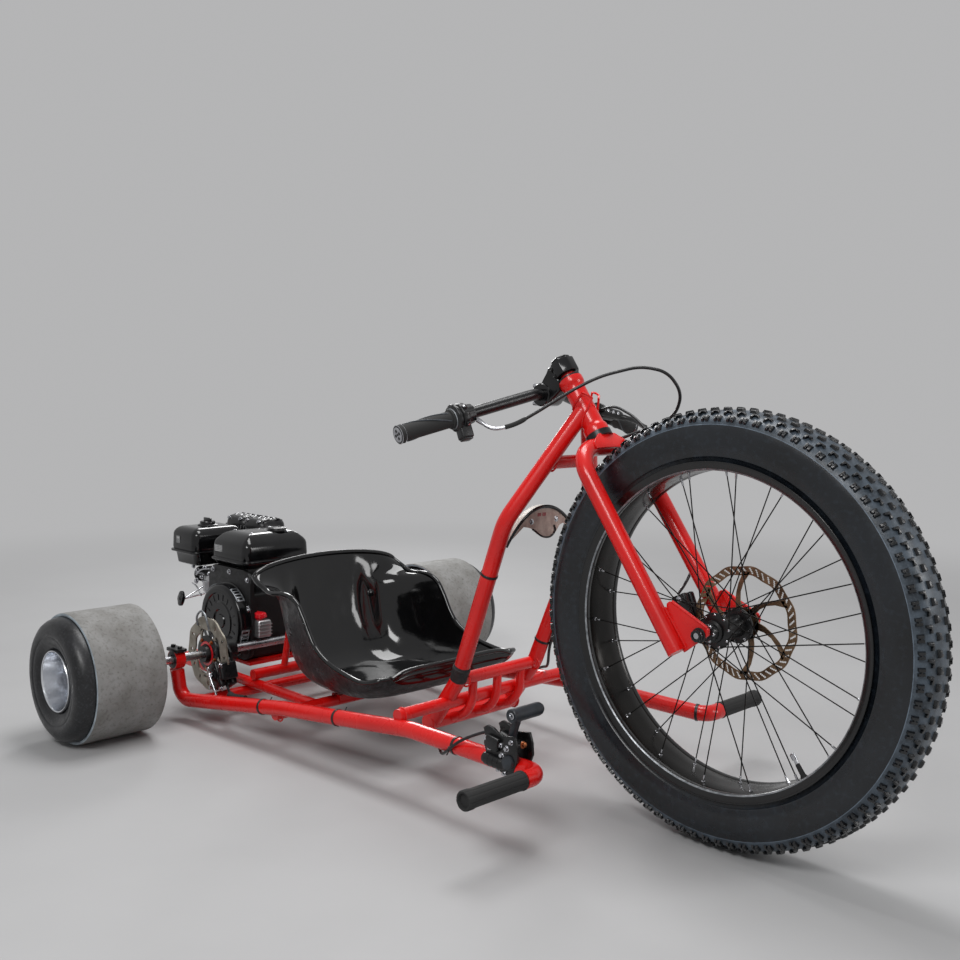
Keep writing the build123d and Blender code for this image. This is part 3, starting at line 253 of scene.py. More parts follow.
RED = Finish("red_paint", rgb(230, 22, 18), rgb(206, 14, 12), 9, 0.4, rough=(0.22, 0.34),
             grain=900, relief=0.04, coat=0.3, shine=0.4, dust=rgb(240, 96, 84), dusty=0.06)
BLACK = Finish("black_satin_metal", rgb(11, 11, 12), rgb(24, 24, 26), 40, rough=(0.24, 0.38),
               grain=1400, relief=0.08, shine=0.45)
GLOSS = Finish("black_gloss_plastic", rgb(5, 5, 6), rgb(13, 13, 15), 18, rough=(0.1, 0.2),
               grain=500, relief=0.04, coat=0.2, shine=0.4)
CAST = Finish("black_cast_engine", rgb(8, 8, 9), rgb(19, 19, 20), 30, rough=(0.32, 0.5),
              grain=1700, relief=0.4, shine=0.4, dust=rgb(60, 59, 57), dusty=0.15)
SCUFFED = Finish("scuffed_seat_outside", rgb(10, 10, 11), rgb(34, 35, 38), 13, 0.4, rough=(0.2, 0.55),
                 grain=150, relief=0.5, kind=Grain.PITS, dust=rgb(96, 99, 106), dusty=0.45)
SEAT = Finish("black_seat_shell", rgb(4, 4, 5), rgb(9, 9, 10), 7, rough=(0.06, 0.15), grain=34,
              relief=0.35, coat=0.3, shine=0.45, dust=rgb(40, 40, 42), dusty=0.1)
# Grey-blue ground between the knobs: partly dust, partly a painted sheen of the lit rubber.
TREAD = Finish("tread_ground_dust_and_sheen", rgb(44, 52, 60), rgb(76, 87, 98), 34, rough=(0.3, 0.46), grain=600,
               relief=0.35, dust=rgb(118, 128, 140), dusty=0.35)
KNOB = Finish("tread_knob", rgb(8, 9, 11), rgb(22, 24, 27), 60, rough=(0.14, 0.26), grain=1500,
              relief=0.3, coat=0.3, dust=rgb(90, 98, 108), dusty=0.12)
WALL = Finish("tyre_wall", rgb(10, 13, 17), rgb(22, 27, 33), 11, 0.35, rough=(0.22, 0.36), grain=700,
              relief=0.2, coat=0.1, dust=rgb(60, 72, 84), dusty=0.25)
KART = Finish("kart_tyre_wall", rgb(12, 12, 14), rgb(26, 27, 30), 22, 0.35, rough=(0.26, 0.44),
              grain=900, relief=0.2, dust=rgb(92, 95, 100), dusty=0.3)
# A pale blue-grey line at the tyre's shoulder: painted sheen where the light catches the parting line.
PALE = Finish("tyre_painted_sheen_line", rgb(118, 132, 146), rgb(70, 80, 92), 60, 0.5, rough=(0.4, 0.6), grain=900)
PALE_END = Finish("sleeve_end", rgb(176, 188, 196), rgb(140, 150, 158), 40, rough=(0.5, 0.7), grain=700)
SLEEVE = Finish("grey_sleeve", rgb(148, 148, 147), rgb(112, 110, 106), 17, 0.5, rough=(0.62, 0.85),
                grain=260, relief=0.5, kind=Grain.PITS, dust=rgb(74, 68, 62), dusty=0.6)
RUBBER = Finish("grip_rubber", rgb(15, 16, 18), rgb(27, 29, 32), 70, rough=(0.44, 0.62), grain=1300,
                relief=0.3)
CABLE = Finish("cable_casing", rgb(14, 14, 15), rgb(26, 26, 28), 60, rough=(0.3, 0.45), grain=1500,
               relief=0.1)
STEEL = Finish("bare_steel", rgb(204, 204, 207), rgb(172, 172, 176), 30, rough=(0.24, 0.34),
               metallic=1.0, grain=700, relief=0.03, kind=Grain.BRUSHED, stretch=(3.0, 0.3, 3.0))
ALLOY = Finish("polished_alloy", rgb(236, 238, 242), rgb(212, 215, 220), 26, rough=(0.16, 0.26),
               metallic=1.0, grain=300, relief=0.05, kind=Grain.BRUSHED, stretch=(4.0, 0.3, 4.0))
CHROME = Finish("bright_plate", rgb(205, 206, 210), rgb(168, 168, 172), 90, rough=(0.12, 0.25),
                metallic=1.0, grain=900, relief=0.06)
BRONZE = Finish("bronze_steel", rgb(150, 124, 98), rgb(96, 74, 56), 48, 0.4, rough=(0.26, 0.4),
                metallic=0.9, grain=1200, relief=0.15)
RIM = Finish("black_rim", rgb(5, 5, 6), rgb(12, 12, 13), 20, rough=(0.16, 0.28), grain=1200,
             relief=0.06, coat=0.2, shine=0.5)
# Dark metal inner band of the front rim; its brownish tint is a painted reflection.
RIM_BAND = Finish("rim_inner_band_painted_reflection", rgb(28, 25, 22), rgb(12, 11, 10), 16, 0.5, rough=(0.16, 0.3),
                  metallic=0.6, grain=500, relief=0.08)
SPOKE = Finish("dark_spoke", rgb(52, 50, 49), rgb(24, 24, 25), 12, 0.5, rough=(0.25, 0.4),
               metallic=0.9, grain=900, relief=0.05)
CAST_ALLOY = Finish("cast_alloy", rgb(176, 176, 174), rgb(128, 127, 125), 60, rough=(0.38, 0.55),
                    metallic=0.9, grain=1500, relief=0.4, dust=rgb(70, 66, 62), dusty=0.2)
LABEL = Finish("blank_label", rgb(150, 151, 152), rgb(120, 121, 123), 80, rough=(0.4, 0.55), grain=900,
               relief=0.05)
LABEL_MARK = Finish("label_bar", rgb(196, 196, 196), rgb(160, 160, 160), 80, rough=(0.4, 0.5), grain=900,
                    relief=0.05)
# Pale slat edges on the heat shield: a painted highlight on louvres of gloss black paint.
LOUVRE_HIGHLIGHT = Finish("louvre_painted_highlight", rgb(150, 150, 152), rgb(46, 46, 48), 130, 0.35, rough=(0.22, 0.36),
                metallic=0.85, grain=900, relief=0.1)
# Bright edge finish for small parts; on the front rim's lip it is a painted highlight.
EDGE = Finish("worn_edge_and_painted_highlight", rgb(168, 172, 176), rgb(120, 124, 128), 90, rough=(0.3, 0.45),
              metallic=0.7, grain=900, relief=0.1)
CAP_RED = Finish("red_plastic", rgb(236, 30, 44), rgb(206, 18, 30), 60, rough=(0.22, 0.34), grain=900,
                 relief=0.08, coat=0.4)
DISC = Finish("beige_disc_steel", rgb(168, 162, 150), rgb(128, 121, 109), 48, 0.4, rough=(0.34, 0.5),
              metallic=0.6, grain=1200, relief=0.2)
MATT = Finish("black_matt_plastic", rgb(13, 13, 14), rgb(24, 24, 26), 40, rough=(0.32, 0.46), grain=1100,
              relief=0.12)
GRIP_RIB = Finish("grip_rib", rgb(52, 58, 66), rgb(34, 38, 43), 90, rough=(0.42, 0.58), grain=1300,
                  relief=0.2)
PAD = Finish("blue_black_rubber", rgb(44, 50, 57), rgb(32, 36, 41), 50, rough=(0.38, 0.52), grain=1100,
             relief=0.2)
PANEL_TOP = Finish("panel_pale_edge", rgb(226, 222, 214), rgb(196, 190, 180), 50, rough=(0.35, 0.5),
                   grain=900, relief=0.08)
PANEL_MARK = Finish("panel_faded_mark", rgb(178, 96, 96), rgb(150, 70, 72), 120, rough=(0.4, 0.5), grain=900,
                    relief=0.05)
COPPER = Finish("copper_washer", rgb(196, 120, 78), rgb(140, 84, 56), 120, rough=(0.25, 0.4),
                metallic=1.0, grain=900, relief=0.1)
FACE = Finish("panel_face", rgb(206, 184, 172), rgb(176, 150, 140), 60, rough=(0.35, 0.5), grain=900,
              relief=0.1)
TAPE = Finish("black_tape", rgb(20, 20, 21), rgb(40, 40, 42), 90, rough=(0.5, 0.7), grain=700,
              relief=0.4)
CHAIN = Finish("chain_steel", rgb(98, 96, 94), rgb(54, 52, 50), 120, rough=(0.3, 0.5), metallic=0.9,
               grain=1200, relief=0.2)

NODE_FINISH = {
    RED: ("head_tube", "down_tube_right", "down_tube_left", "down_tube_brace", "foot_guard",
          "foot_cross_tube", "rail_right", "rail_left", "front_cross_tube", "rear_cross_tube", "cradle",
          "seat_cross_tube", "seat_struts", "engine_plate", "fork", "dropouts"),
    BLACK: ("headset", "axle_carriers", "stem", "handlebar", "front_axle", "front_caliper",
            "rear_caliper", "brake_pedal", "brake_lever", "clutch", "front_hub", "muffler"),
    RIM: ("front_rim",),
    CAST: ("engine_block", "recoil_housing", "carburettor"),
    GLOSS: ("fuel_tank", "air_cleaner", "throttle_housing", "front_plate"),
    RUBBER: ("grips", "foot_pegs"),
    WALL: ("front_tyre",),
    KART: ("kart_tyre_right", "kart_tyre_left"),
    STEEL: ("axle_shaft",),
    CHAIN: ("chain", "rear_sprocket"),
    CAST_ALLOY: ("oil_filler",),
    SPOKE: ("front_spokes",),
    BRONZE: ("front_rotor", "rear_disc"),
    ALLOY: ("kart_rim_right", "kart_rim_left"),
    SLEEVE: ("sleeve_right", "sleeve_left"),
    SEAT: ("seat_shell",),
    CABLE: ("throttle_cable", "front_brake_hose", "throttle_line", "rear_brake_hose"),
}


# --- mesh making


def place(at: Sequence[float], up: Sequence[float] = (0, 0, 1),
          across: Sequence[float] = (1, 0, 0)) -> Matrix:
    """A place for a sub-part: its origin, its own Z and roughly its own X.

    Args:
        at: The origin.
        up: The direction of its Z.
        across: The direction that its X leans to.

    Returns:
        The matrix from the sub-part's own space.
    """
    z = Vector(up).normalized()
    x = Vector(across) - z * z.dot(Vector(across))
    x = x.normalized() if x.length > 1e-6 else z.orthogonal().normalized()
    made = Matrix((x, z.cross(x), z)).transposed().to_4x4()
    made.translation = Vector(at)
    return made


def shifted(at: Matrix, x: float = 0.0, y: float = 0.0, z: float = 0.0) -> Matrix:
    """The place moved along its own axes."""
    return at @ Matrix.Translation((x, y, z))


def turned(at: Matrix, angle: float) -> Matrix:
    """The place turned about its own Z by that many radians."""
    return at @ Matrix.Rotation(angle, 4, "Z")


def polar(radius: float, angle: float) -> Point:
    """The X and Y of a point at that distance and angle in radians."""
    return radius * math.cos(angle), radius * math.sin(angle)


def smooth_line(points: Sequence[Sequence[float]], steps: int = 6, closed: bool = False) -> list[Vector]:
    """A smooth line through points.

    Args:
        points: The points to pass through.
        steps: How many stretches each gap gets.
        closed: Whether the line comes back to its start.

    Returns:
        The points along the line.
    """
    given = [Vector(p) for p in points]
    count = len(given)
    made = []
    for k in range(count if closed else count - 1):
        if closed:
            a, b, c, d = (given[(k + j) % count] for j in (-1, 0, 1, 2))
        else:
            b, c = given[k], given[k + 1]
            a = given[k - 1] if k else b * 2 - c
            d = given[k + 2] if k + 2 < count else c * 2 - b
        for step in range(steps):
            t = step / steps
            made.append(0.5 * (2 * b + (c - a) * t + (2 * a - 5 * b + 4 * c - d) * t * t
                               + (3 * b - a - 3 * c + d) * t ** 3))
    if not closed:
        made.append(given[-1])
    return made


def polygon(count: int, radius: float, turn: float = 0.0) -> list[Point]:
    """A regular polygon's corners.

    Args:
        count: How many corners.
        radius: Their distance from the middle.
        turn: The first corner's angle in radians.

    Returns:
        The corners.
    """
    angles = [turn + math.tau * k / count for k in range(count)]
    return [polar(radius, a) for a in angles]


class Piece:
    """One mesh in the making, with the finishes that its faces take."""

    def __init__(self, name: str) -> None:
        """Starts an empty piece of that name."""
        self.name = name
        self.mesh = bmesh.new()
        self.finishes: list[Finish] = []

    def index(self, finish: Finish) -> int:
        """The finish's number on this piece."""
        if finish not in self.finishes:
            self.finishes.append(finish)
        return self.finishes.index(finish)

    def add(self, corners: Sequence[Vector], faces: Sequence[Sequence[int]], finish: Finish) -> None:
        """Adds faces over corners.

        Args:
            corners: Points in the row frame.
            faces: Corner numbers of each face.
            finish: The finish that they take.
        """
        made = [self.mesh.verts.new(c) for c in corners]
        index = self.index(finish)
        for face in faces:
            self.mesh.faces.new([made[k] for k in face]).material_index = index

    def rings(self, rings: Sequence[Sequence[Vector]], finish: Finish | Sequence[Finish],
              closed: bool = False, caps: bool = True) -> None:
        """Skins rings of equally many points.

        Args:
            rings: The rings in order.
            finish: The finish, or one for each gap between rings.
            closed: Whether the last ring joins the first.
            caps: Whether open ends are filled.
        """
        size = len(rings[0])
        verts = [[self.mesh.verts.new(p) for p in ring] for ring in rings]
        gaps = len(rings) if closed else len(rings) - 1
        for k in range(gaps):
            one = finish if isinstance(finish, Finish) else finish[min(k, len(finish) - 1)]
            index = self.index(one)
            here, after = verts[k], verts[(k + 1) % len(rings)]
            for j in range(size):
                ring = (here[j], here[(j + 1) % size], after[(j + 1) % size], after[j])
                self.mesh.faces.new(ring).material_index = index
        if caps and not closed:
            first = finish if isinstance(finish, Finish) else finish[0]
            for ring in (verts[0], verts[-1]):
                self.mesh.faces.new(ring).material_index = self.index(first)

    def lathe(self, profile: Sequence[Point], at: Matrix, finish: Finish | Sequence[Finish],
              turns: int = 64, closed: bool = False,
              wave: Callable[[float], float] | None = None) -> None:
        """Turns a profile about its own Z.

        Args:
            profile: Radius and height of each point.
            at: The place of the turned part.
            finish: The finish, or one for each stretch of the profile.
            turns: Facets round the axis.
            closed: Whether the profile is a closed loop, as a ring's is.
            wave: A share that scales the radius by angle.
        """
        angles = [math.tau * k / turns for k in range(turns)]
        scales = [wave(angle) if wave else 1.0 for angle in angles]
        rings = [[at @ Vector((*polar(radius * scale, angle), height))
                  for scale, angle in zip(scales, angles)] for radius, height in profile]
        self.rings(rings, finish, closed=closed, caps=not closed)

    def tube(self, points: Sequence[Sequence[float]], radius: float | Sequence[float], finish: Finish,
             sides: int = 12, closed: bool = False) -> None:
        """Sweeps a circle along points.

        Args:
            points: The middle line in the row frame.
            radius: The tube's radius, or one for each point.
            finish: The finish.
            sides: Facets round the tube.
            closed: Whether the line comes back to its start.
        """
        line = [Vector(p) for p in points]
        count = len(line)
        normal = None
        rings = []
        for k, here in enumerate(line):
            before = line[(k - 1) % count] if closed or k else here
            after = line[(k + 1) % count] if closed or k < count - 1 else here
            along = (after - before).normalized()
            normal = along.orthogonal() if normal is None else normal - along * normal.dot(along)
            normal.normalize()
            other = along.cross(normal)
            size = radius if isinstance(radius, (int, float)) else radius[k]
            rings.append([here + size * (normal * math.cos(a) + other * math.sin(a))
                          for a in (math.tau * j / sides for j in range(sides))])
        self.rings(rings, finish, closed=closed)

    def prism(self, outline: Sequence[Point], depth: float, at: Matrix, finish: Finish,
              bevel: float = 0.0, segments: int = 2) -> None:
        """Raises an outline along its own Z, with its edges rounded.

        Args:
            outline: The corners in the prism's own XY.
            depth: How far it rises.
            at: The place of the outline.
            finish: The finish.
            bevel: The rounding's width.
            segments: Steps in the rounding.
        """
        body = bmesh.new()
        low = [body.verts.new((x, y, 0.0)) for x, y in outline]
        high = [body.verts.new((x, y, depth)) for x, y in outline]
        count = len(outline)
        body.faces.new(low[::-1])
        body.faces.new(high)
        for k in range(count):
            body.faces.new((low[k], low[(k + 1) % count], high[(k + 1) % count], high[k]))
        if bevel:
            bmesh.ops.bevel(body, geom=body.edges, offset=bevel, segments=segments, affect="EDGES",
                            profile=0.5, clamp_overlap=True)
        self._take(body, at, finish)

    def block(self, size: Sequence[float], at: Matrix, finish: Finish, bevel: float = 0.002,
              segments: int = 2) -> None:
        """Adds a block with rounded edges, centred on its place.

        Args:
            size: Length, width and height.
            at: The place of its middle.
            finish: The finish.
            bevel: The rounding's width.
            segments: Steps in the rounding.
        """
        x, y, z = (s / 2 for s in size)
        lowered = shifted(at, z=-z)
        self.prism([(-x, -y), (x, -y), (x, y), (-x, y)], 2 * z, lowered, finish, bevel, segments)

    def dome(self, radius: float, height: float, at: Matrix, finish: Finish, sides: int = 20) -> None:
        """Adds a low dome standing on its place.

        Args:
            radius: The dome's radius.
            height: How high it rises.
            at: The place of its foot.
            finish: The finish.
            sides: Facets round it.
        """
        arc = [math.radians(a) for a in range(0, 90, 18)]
        profile = [(radius * math.cos(a), height * math.sin(a)) for a in arc]
        self.lathe([(radius, -0.0005), *profile, (radius * 0.05, height)], at, finish, sides)

    def bolt(self, at: Matrix, across: float, height: float, finish: Finish, washer: bool = True) -> None:
        """Adds a hexagon head on a washer.

        Args:
            at: The place of the head's foot.
            across: The head's width across flats.
            height: How high it stands.
            finish: The finish.
            washer: Whether a washer lies under it.
        """
        rise = 0.0
        if washer:
            rise = height * 0.2
            ring = [(across * 0.8, 0.0), (across * 0.8, rise * 0.7), (across * 0.74, rise), (0.001, rise)]
            self.lathe(ring, at, finish, 24)
        outline = polygon(6, across / math.sqrt(3), 0.3)
        self.prism(outline, height - rise, shifted(at, z=rise), finish, across * 0.06)

    def weld(self, points: Sequence[Sequence[float]], radius: float, finish: Finish,
             closed: bool = True) -> None:
        """Adds a rippled weld bead along points.

        Args:
            points: The bead's middle line, evenly spaced.
            radius: The bead's mean radius.
            finish: The finish.
            closed: Whether the bead runs all the way round.
        """
        sizes = [radius * (1.0 + 0.16 * math.sin(k * 2.1)) for k in range(len(points))]
        self.tube(points, sizes, finish, sides=8, closed=closed)

    def _take(self, body: bmesh.types.BMesh, at: Matrix, finish: Finish) -> None:
        """Moves another mesh's faces into this one.

        Args:
            body: The other mesh, which is freed.
            at: Where it goes.
            finish: The finish that its faces take.
        """
        index = self.index(finish)
        body.transform(at)
        for face in body.faces:
            face.material_index = index
        carrier = bpy.data.meshes.new("carrier")
        body.to_mesh(carrier)
        body.free()
        self.mesh.from_mesh(carrier)
        bpy.data.meshes.remove(carrier)

    def done(self, body: Body, *replaced: str, slot: str = "", sharp: float = 38.0) -> bpy.types.Object:
        """Finishes the piece and hangs it on its body.

        Args:
            body: The body that it rides on.
            replaced: The frame's nodes that it stands for.
            slot: The record's material slot; not used.
            sharp: The angle in degrees above which an edge stays sharp.

        Returns:
            The finished object.
        """
        bmesh.ops.recalc_face_normals(self.mesh, faces=self.mesh.faces)
        data = bpy.data.meshes.new(self.name)
        self.mesh.to_mesh(data)
        self.mesh.free()
        for finish in self.finishes:
            data.materials.append(finish.material())
        data.polygons.foreach_set("use_smooth", [True] * len(data.polygons))
        data.set_sharp_from_angle(angle=math.radians(sharp))
        made = bpy.data.objects.new(self.name, data)
        bpy.context.scene.collection.objects.link(made)
        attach(made, body.value)
        if replaced:
            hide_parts(*replaced)
        LOG.info("%s: %d faces", self.name, len(data.polygons))
        return made


def ring_points(centre: Vector, axis: Vector, radius: float, count: int = 40) -> list[Vector]:
    """Points of a circle about an axis.

    Args:
        centre: The circle's middle.
        axis: The direction that it faces.
        radius: Its radius.
        count: How many points.

    Returns:
        The points.
    """
    at = place(centre, axis)
    return [at @ Vector((*p, 0.0)) for p in polygon(count, radius)]


# --- front wheel


class KnobShape(Enum):
    """Outline of a tyre knob as shares of its length and width."""

    ELL = ((-0.5, -0.5), (0.5, -0.5), (0.5, 0.05), (-0.05, 0.05), (-0.05, 0.5), (-0.5, 0.5))
    BRACKET = ((-0.5, -0.5), (0.5, -0.5), (0.5, -0.02), (0.22, -0.02), (0.12, -0.2), (-0.12, -0.2),
               (-0.22, 0.5), (-0.5, 0.5))
    AITCH = ((-0.5, -0.5), (-0.14, -0.5), (-0.14, -0.14), (0.14, -0.14), (0.14, -0.5), (0.5, -0.5),
             (0.5, 0.5), (0.14, 0.5), (0.14, 0.14), (-0.14, 0.14), (-0.14, 0.5), (-0.5, 0.5))


@dataclass(frozen=True)
class KnobRow:
    """A row of knobs round the tyre: where it lies on the section and what it looks like."""

    lean: float
    shape: KnobShape
    length: float
    width: float
    turned: bool = False
    late: float = 0.0


@dataclass
class FrontWheel:
    """The fat spoked wheel with its small knobs, black rim, laced spokes, hub and rotor."""

    low: Vector
    high: Vector
    knob_height: float = 0.0056
    knobs: int = 92
    belly: float = 0.3268
    square: float = 2.5
    flange: float = 0.286
    spokes: int = 18
    hub_flange: float = 0.033
    crossing: float = 74
    valve_angle: float = 55
    rows: tuple[KnobRow, ...] = field(default_factory=lambda: (
        KnobRow(37, KnobShape.AITCH, 0.0115, 0.01),
        KnobRow(56, KnobShape.BRACKET, 0.012, 0.0088, late=0.5),
        KnobRow(78, KnobShape.ELL, 0.0112, 0.0085, turned=True)))

    def __post_init__(self) -> None:
        """Works out the wheel's middle and sizes from its tyre's box."""
        self.centre = (self.low + self.high) / 2
        self.radius = (self.high.x - self.low.x) / 2
        self.half = (self.high.y - self.low.y) / 2
        self.at = place(self.centre, (0, 1, 0))

    def section(self, lean: float, proud: float = 0.0) -> Point:
        """A point of the tyre's section.

        Args:
            lean: The angle in degrees up from the wall, 90 at the crown and 180 at the far wall.
            proud: How far it stands out of the carcass.

        Returns:
            Its radius from the axle and its place along the axle.
        """
        sine, cosine = math.sin(math.radians(lean)), math.cos(math.radians(lean))
        power = 2 / self.square
        rise = (self.radius - self.knob_height - self.belly) * sine ** power
        out = (self.half - 0.0006) * math.copysign(abs(cosine) ** power, cosine)
        return self.belly + rise + proud * sine, out + proud * cosine

    def tyre(self) -> None:
        """Makes the carcass with its walls, painted sheen lines at the shoulders, tread ground and knobs."""
        piece = Piece("front_tyre_shaped")
        height = self.radius - self.flange
        foot = [(self.flange + height * share, self.half - narrow) for share, narrow in (
            (-0.03, 0.0098), (0.03, 0.0092), (0.075, 0.0074), (0.09, 0.006), (0.115, 0.0058),
            (0.19, 0.0026), (0.3, 0.0009))]
        leans = [0, 6, 12, 17, 21.4, 22.0, 22.5, 23.1, 27, *range(32, 91, 6)]
        side = foot + [self.section(lean) for lean in leans]
        outer = side + [(r, -y) for r, y in side[::-1]]
        inner = [(self.flange - 0.002, -(self.half - 0.012)), (self.flange - 0.002, self.half - 0.012)]
        walls = len(foot) + 3
        # The three PALE stretches on each side paint the sheen along the tyre's shoulder.
        half = [WALL] * walls + [WALL, PALE, PALE, PALE] + [TREAD] * (len(side) - walls - 4)
        finishes = half[:-1] + [TREAD] + half[-2::-1]
        count = len(outer) + len(inner)
        finishes = (finishes + [WALL] * count)[:count]
        piece.lathe(outer + inner, self.at, finishes, 220, closed=True)
        for row in self.rows:
            for mirror in (1, -1):
                self._knob_row(piece, row, mirror)
        piece.done(Body.FRONT_WHEEL, "front_tyre", slot="front_tread", sharp=30)

    def _knob_row(self, piece: Piece, row: KnobRow, mirror: int) -> None:
        """Adds one row of knobs.

        Args:
            piece: The tyre.
            row: The row.
            mirror: 1 for the left half and -1 for the right.
        """
        radius, out = self.section(row.lean)
        ahead, beyond = self.section(row.lean + 1)
        slope = Vector((ahead - radius, 0, (beyond - out) * mirror)).normalized()
        normal = Vector((abs(slope.z), 0, math.copysign(abs(slope.x), out * mirror)))
        if row.lean > 85:
            normal = Vector((1, 0, 0))
        flip = -1 if row.turned else 1
        corners = [(u * row.length * flip, v * row.width * flip * mirror) for u, v in row.shape.value]
        for k in range(self.knobs):
            angle = math.tau * (k + row.late + (0.25 if mirror > 0 else 0.0)) / self.knobs
            turn = Matrix.Rotation(angle, 4, "Z")
            foot = Vector((radius, 0, out * mirror)) - normal * 0.0006
            rings = []
            for share, scale in ((0.0, 1.14), (0.7, 1.0), (0.93, 0.92), (1.0, 0.76)):
                lift = foot + normal * (self.knob_height * share)
                rings.append([self.at @ turn @ (lift + Vector((0, u * scale, 0)) + slope * (v * scale))
                              for u, v in corners])
            piece.rings(rings, [KNOB, KNOB, KNOB])

    def rim(self) -> None:
        """Makes the black rim with its metal inner band tinted by a painted reflection, a painted highlight
        on its lip, nipples and valve.
        """
        piece = Piece("front_rim_shaped")
        r = self.flange
        half = [(r, 0.0462), (r + 0.0002, 0.0492), (r - 0.0008, 0.05), (r - 0.0026, 0.0499),
                (r - 0.006, 0.048), (r - 0.0125, 0.0462), (r - 0.015, 0.044), (r - 0.0158, 0.0405),
                (r - 0.015, 0.036), (r - 0.0142, 0.0335), (r - 0.0155, 0.03), (r - 0.016, 0.01)]
        inside = half + [(radius, -y) for radius, y in half[::-1]]
        back = [(r - 0.008, -0.0455), (r - 0.008, 0.0455)]
        # EDGE on the flange's lip is a painted highlight; the band's brownish colour is a painted reflection.
        black, band = [RIM] * 2 + [EDGE] + [RIM] * 5, [RIM_BAND] * 3
        piece.lathe(inside + back, self.at, black + band + [RIM_BAND] + band + black + [RIM] * 2, 200,
                    closed=True)
        for rim_end, hub_end in self._laced():
            along = (hub_end - rim_end).normalized()
            cone = [(0.0034, -0.001), (0.0032, 0.0012), (0.0021, 0.0016), (0.0019, 0.011), (0.0013, 0.012)]
            piece.lathe(cone, place(rim_end, along), CHROME, 8)
        self._valve(piece)
        piece.done(Body.FRONT_WHEEL, "front_rim", slot="black_metal")

    def _valve(self, piece: Piece) -> None:
        """Adds the valve's rubber foot, stem and cap."""
        angle = math.radians(self.valve_angle)
        out = self.at @ Vector((math.cos(angle), math.sin(angle), 0)) - self.centre
        foot = self.centre + out * (self.flange - 0.0165)
        at = place(foot, -out)
        piece.lathe([(0.0065, -0.001), (0.006, 0.002), (0.0045, 0.005), (0.004, 0.022), (0.0035, 0.024)],
                    at, RUBBER, 16)
        piece.lathe([(0.003, 0.023), (0.003, 0.031), (0.0045, 0.0315), (0.0046, 0.04), (0.003, 0.042)],
                    at, CHROME, 16)

    def _laced(self) -> list[tuple[Vector, Vector]]:
        """Rim and hub ends of every spoke, crossed three times."""
        ends = []
        for side in (-1, 1):
            for k in range(self.spokes):
                lead = 1 if k % 2 else -1
                rim_angle = math.tau * (k + (0.25 if side > 0 else 0.75)) / self.spokes
                hub_angle = rim_angle + lead * math.radians(self.crossing)
                rim_end = Vector((*polar(self.flange - 0.016, rim_angle), side * 0.021))
                hub_end = Vector((*polar(0.0275, hub_angle), side * (self.hub_flange + lead * 0.0028)))
                ends.append((self.at @ rim_end, self.at @ hub_end))
        return ends

    def spoke_set(self) -> None:
        """Makes the spokes with their bent heads."""
        piece = Piece("front_spokes_shaped")
        for rim_end, hub_end in self._laced():
            piece.tube([rim_end, rim_end.lerp(hub_end, 0.5), hub_end], 0.0011, SPOKE, 8)
            piece.dome(0.0026, 0.0016, place(hub_end, (0, hub_end.y, 0)), CHROME, 8)
        piece.done(Body.FRONT_WHEEL, "front_spokes")

    def hub(self) -> None:
        """Makes the hub shell with drilled-looking flanges, bolts and end caps."""
        piece = Piece("front_hub_shaped")
        half = [(0.001, 0.072), (0.0085, 0.072), (0.0095, 0.071), (0.0095, 0.0625), (0.0135, 0.0615),
                (0.015, 0.059), (0.015, 0.045), (0.019, 0.043), (0.0195, 0.0375), (0.03, 0.0352),
                (0.0312, 0.0345), (0.0312, 0.0318), (0.03, 0.031), (0.02, 0.03), (0.0172, 0.024),
                (0.016, 0.012)]
        profile = half + [(r, -y) for r, y in half[::-1]]
        piece.lathe(profile, self.at, BLACK, 64)
        for side in (-1, 1):
            radius, out = (0.0218, 0.0592) if side > 0 else (0.0135, -0.0606)
            for spot in polygon(6, radius):
                foot = self.at @ Vector((*spot, out))
                piece.dome(0.0032, 0.0018, place(foot, (0, side, 0)), CHROME, 12)
        piece.done(Body.FRONT_WHEEL, "front_hub", slot="black_metal")

    def rotor(self) -> None:
        """Makes the wavy slotted brake rotor with its curved arms."""
        low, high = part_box("front_rotor")
        radius, thick = (high.x - low.x) / 2, high.y - low.y
        at = place((self.centre.x, low.y, self.centre.z), (0, 1, 0))
        Rotor("front_rotor_shaped", at, radius, 0.0155, 0.024, thick, 6).make(Body.FRONT_WHEEL,
                                                                         "front_rotor")

    def make(self) -> None:
        """Makes every piece of the wheel."""
        self.tyre()
        self.rim()
        self.spoke_set()
        self.hub()
        self.rotor()


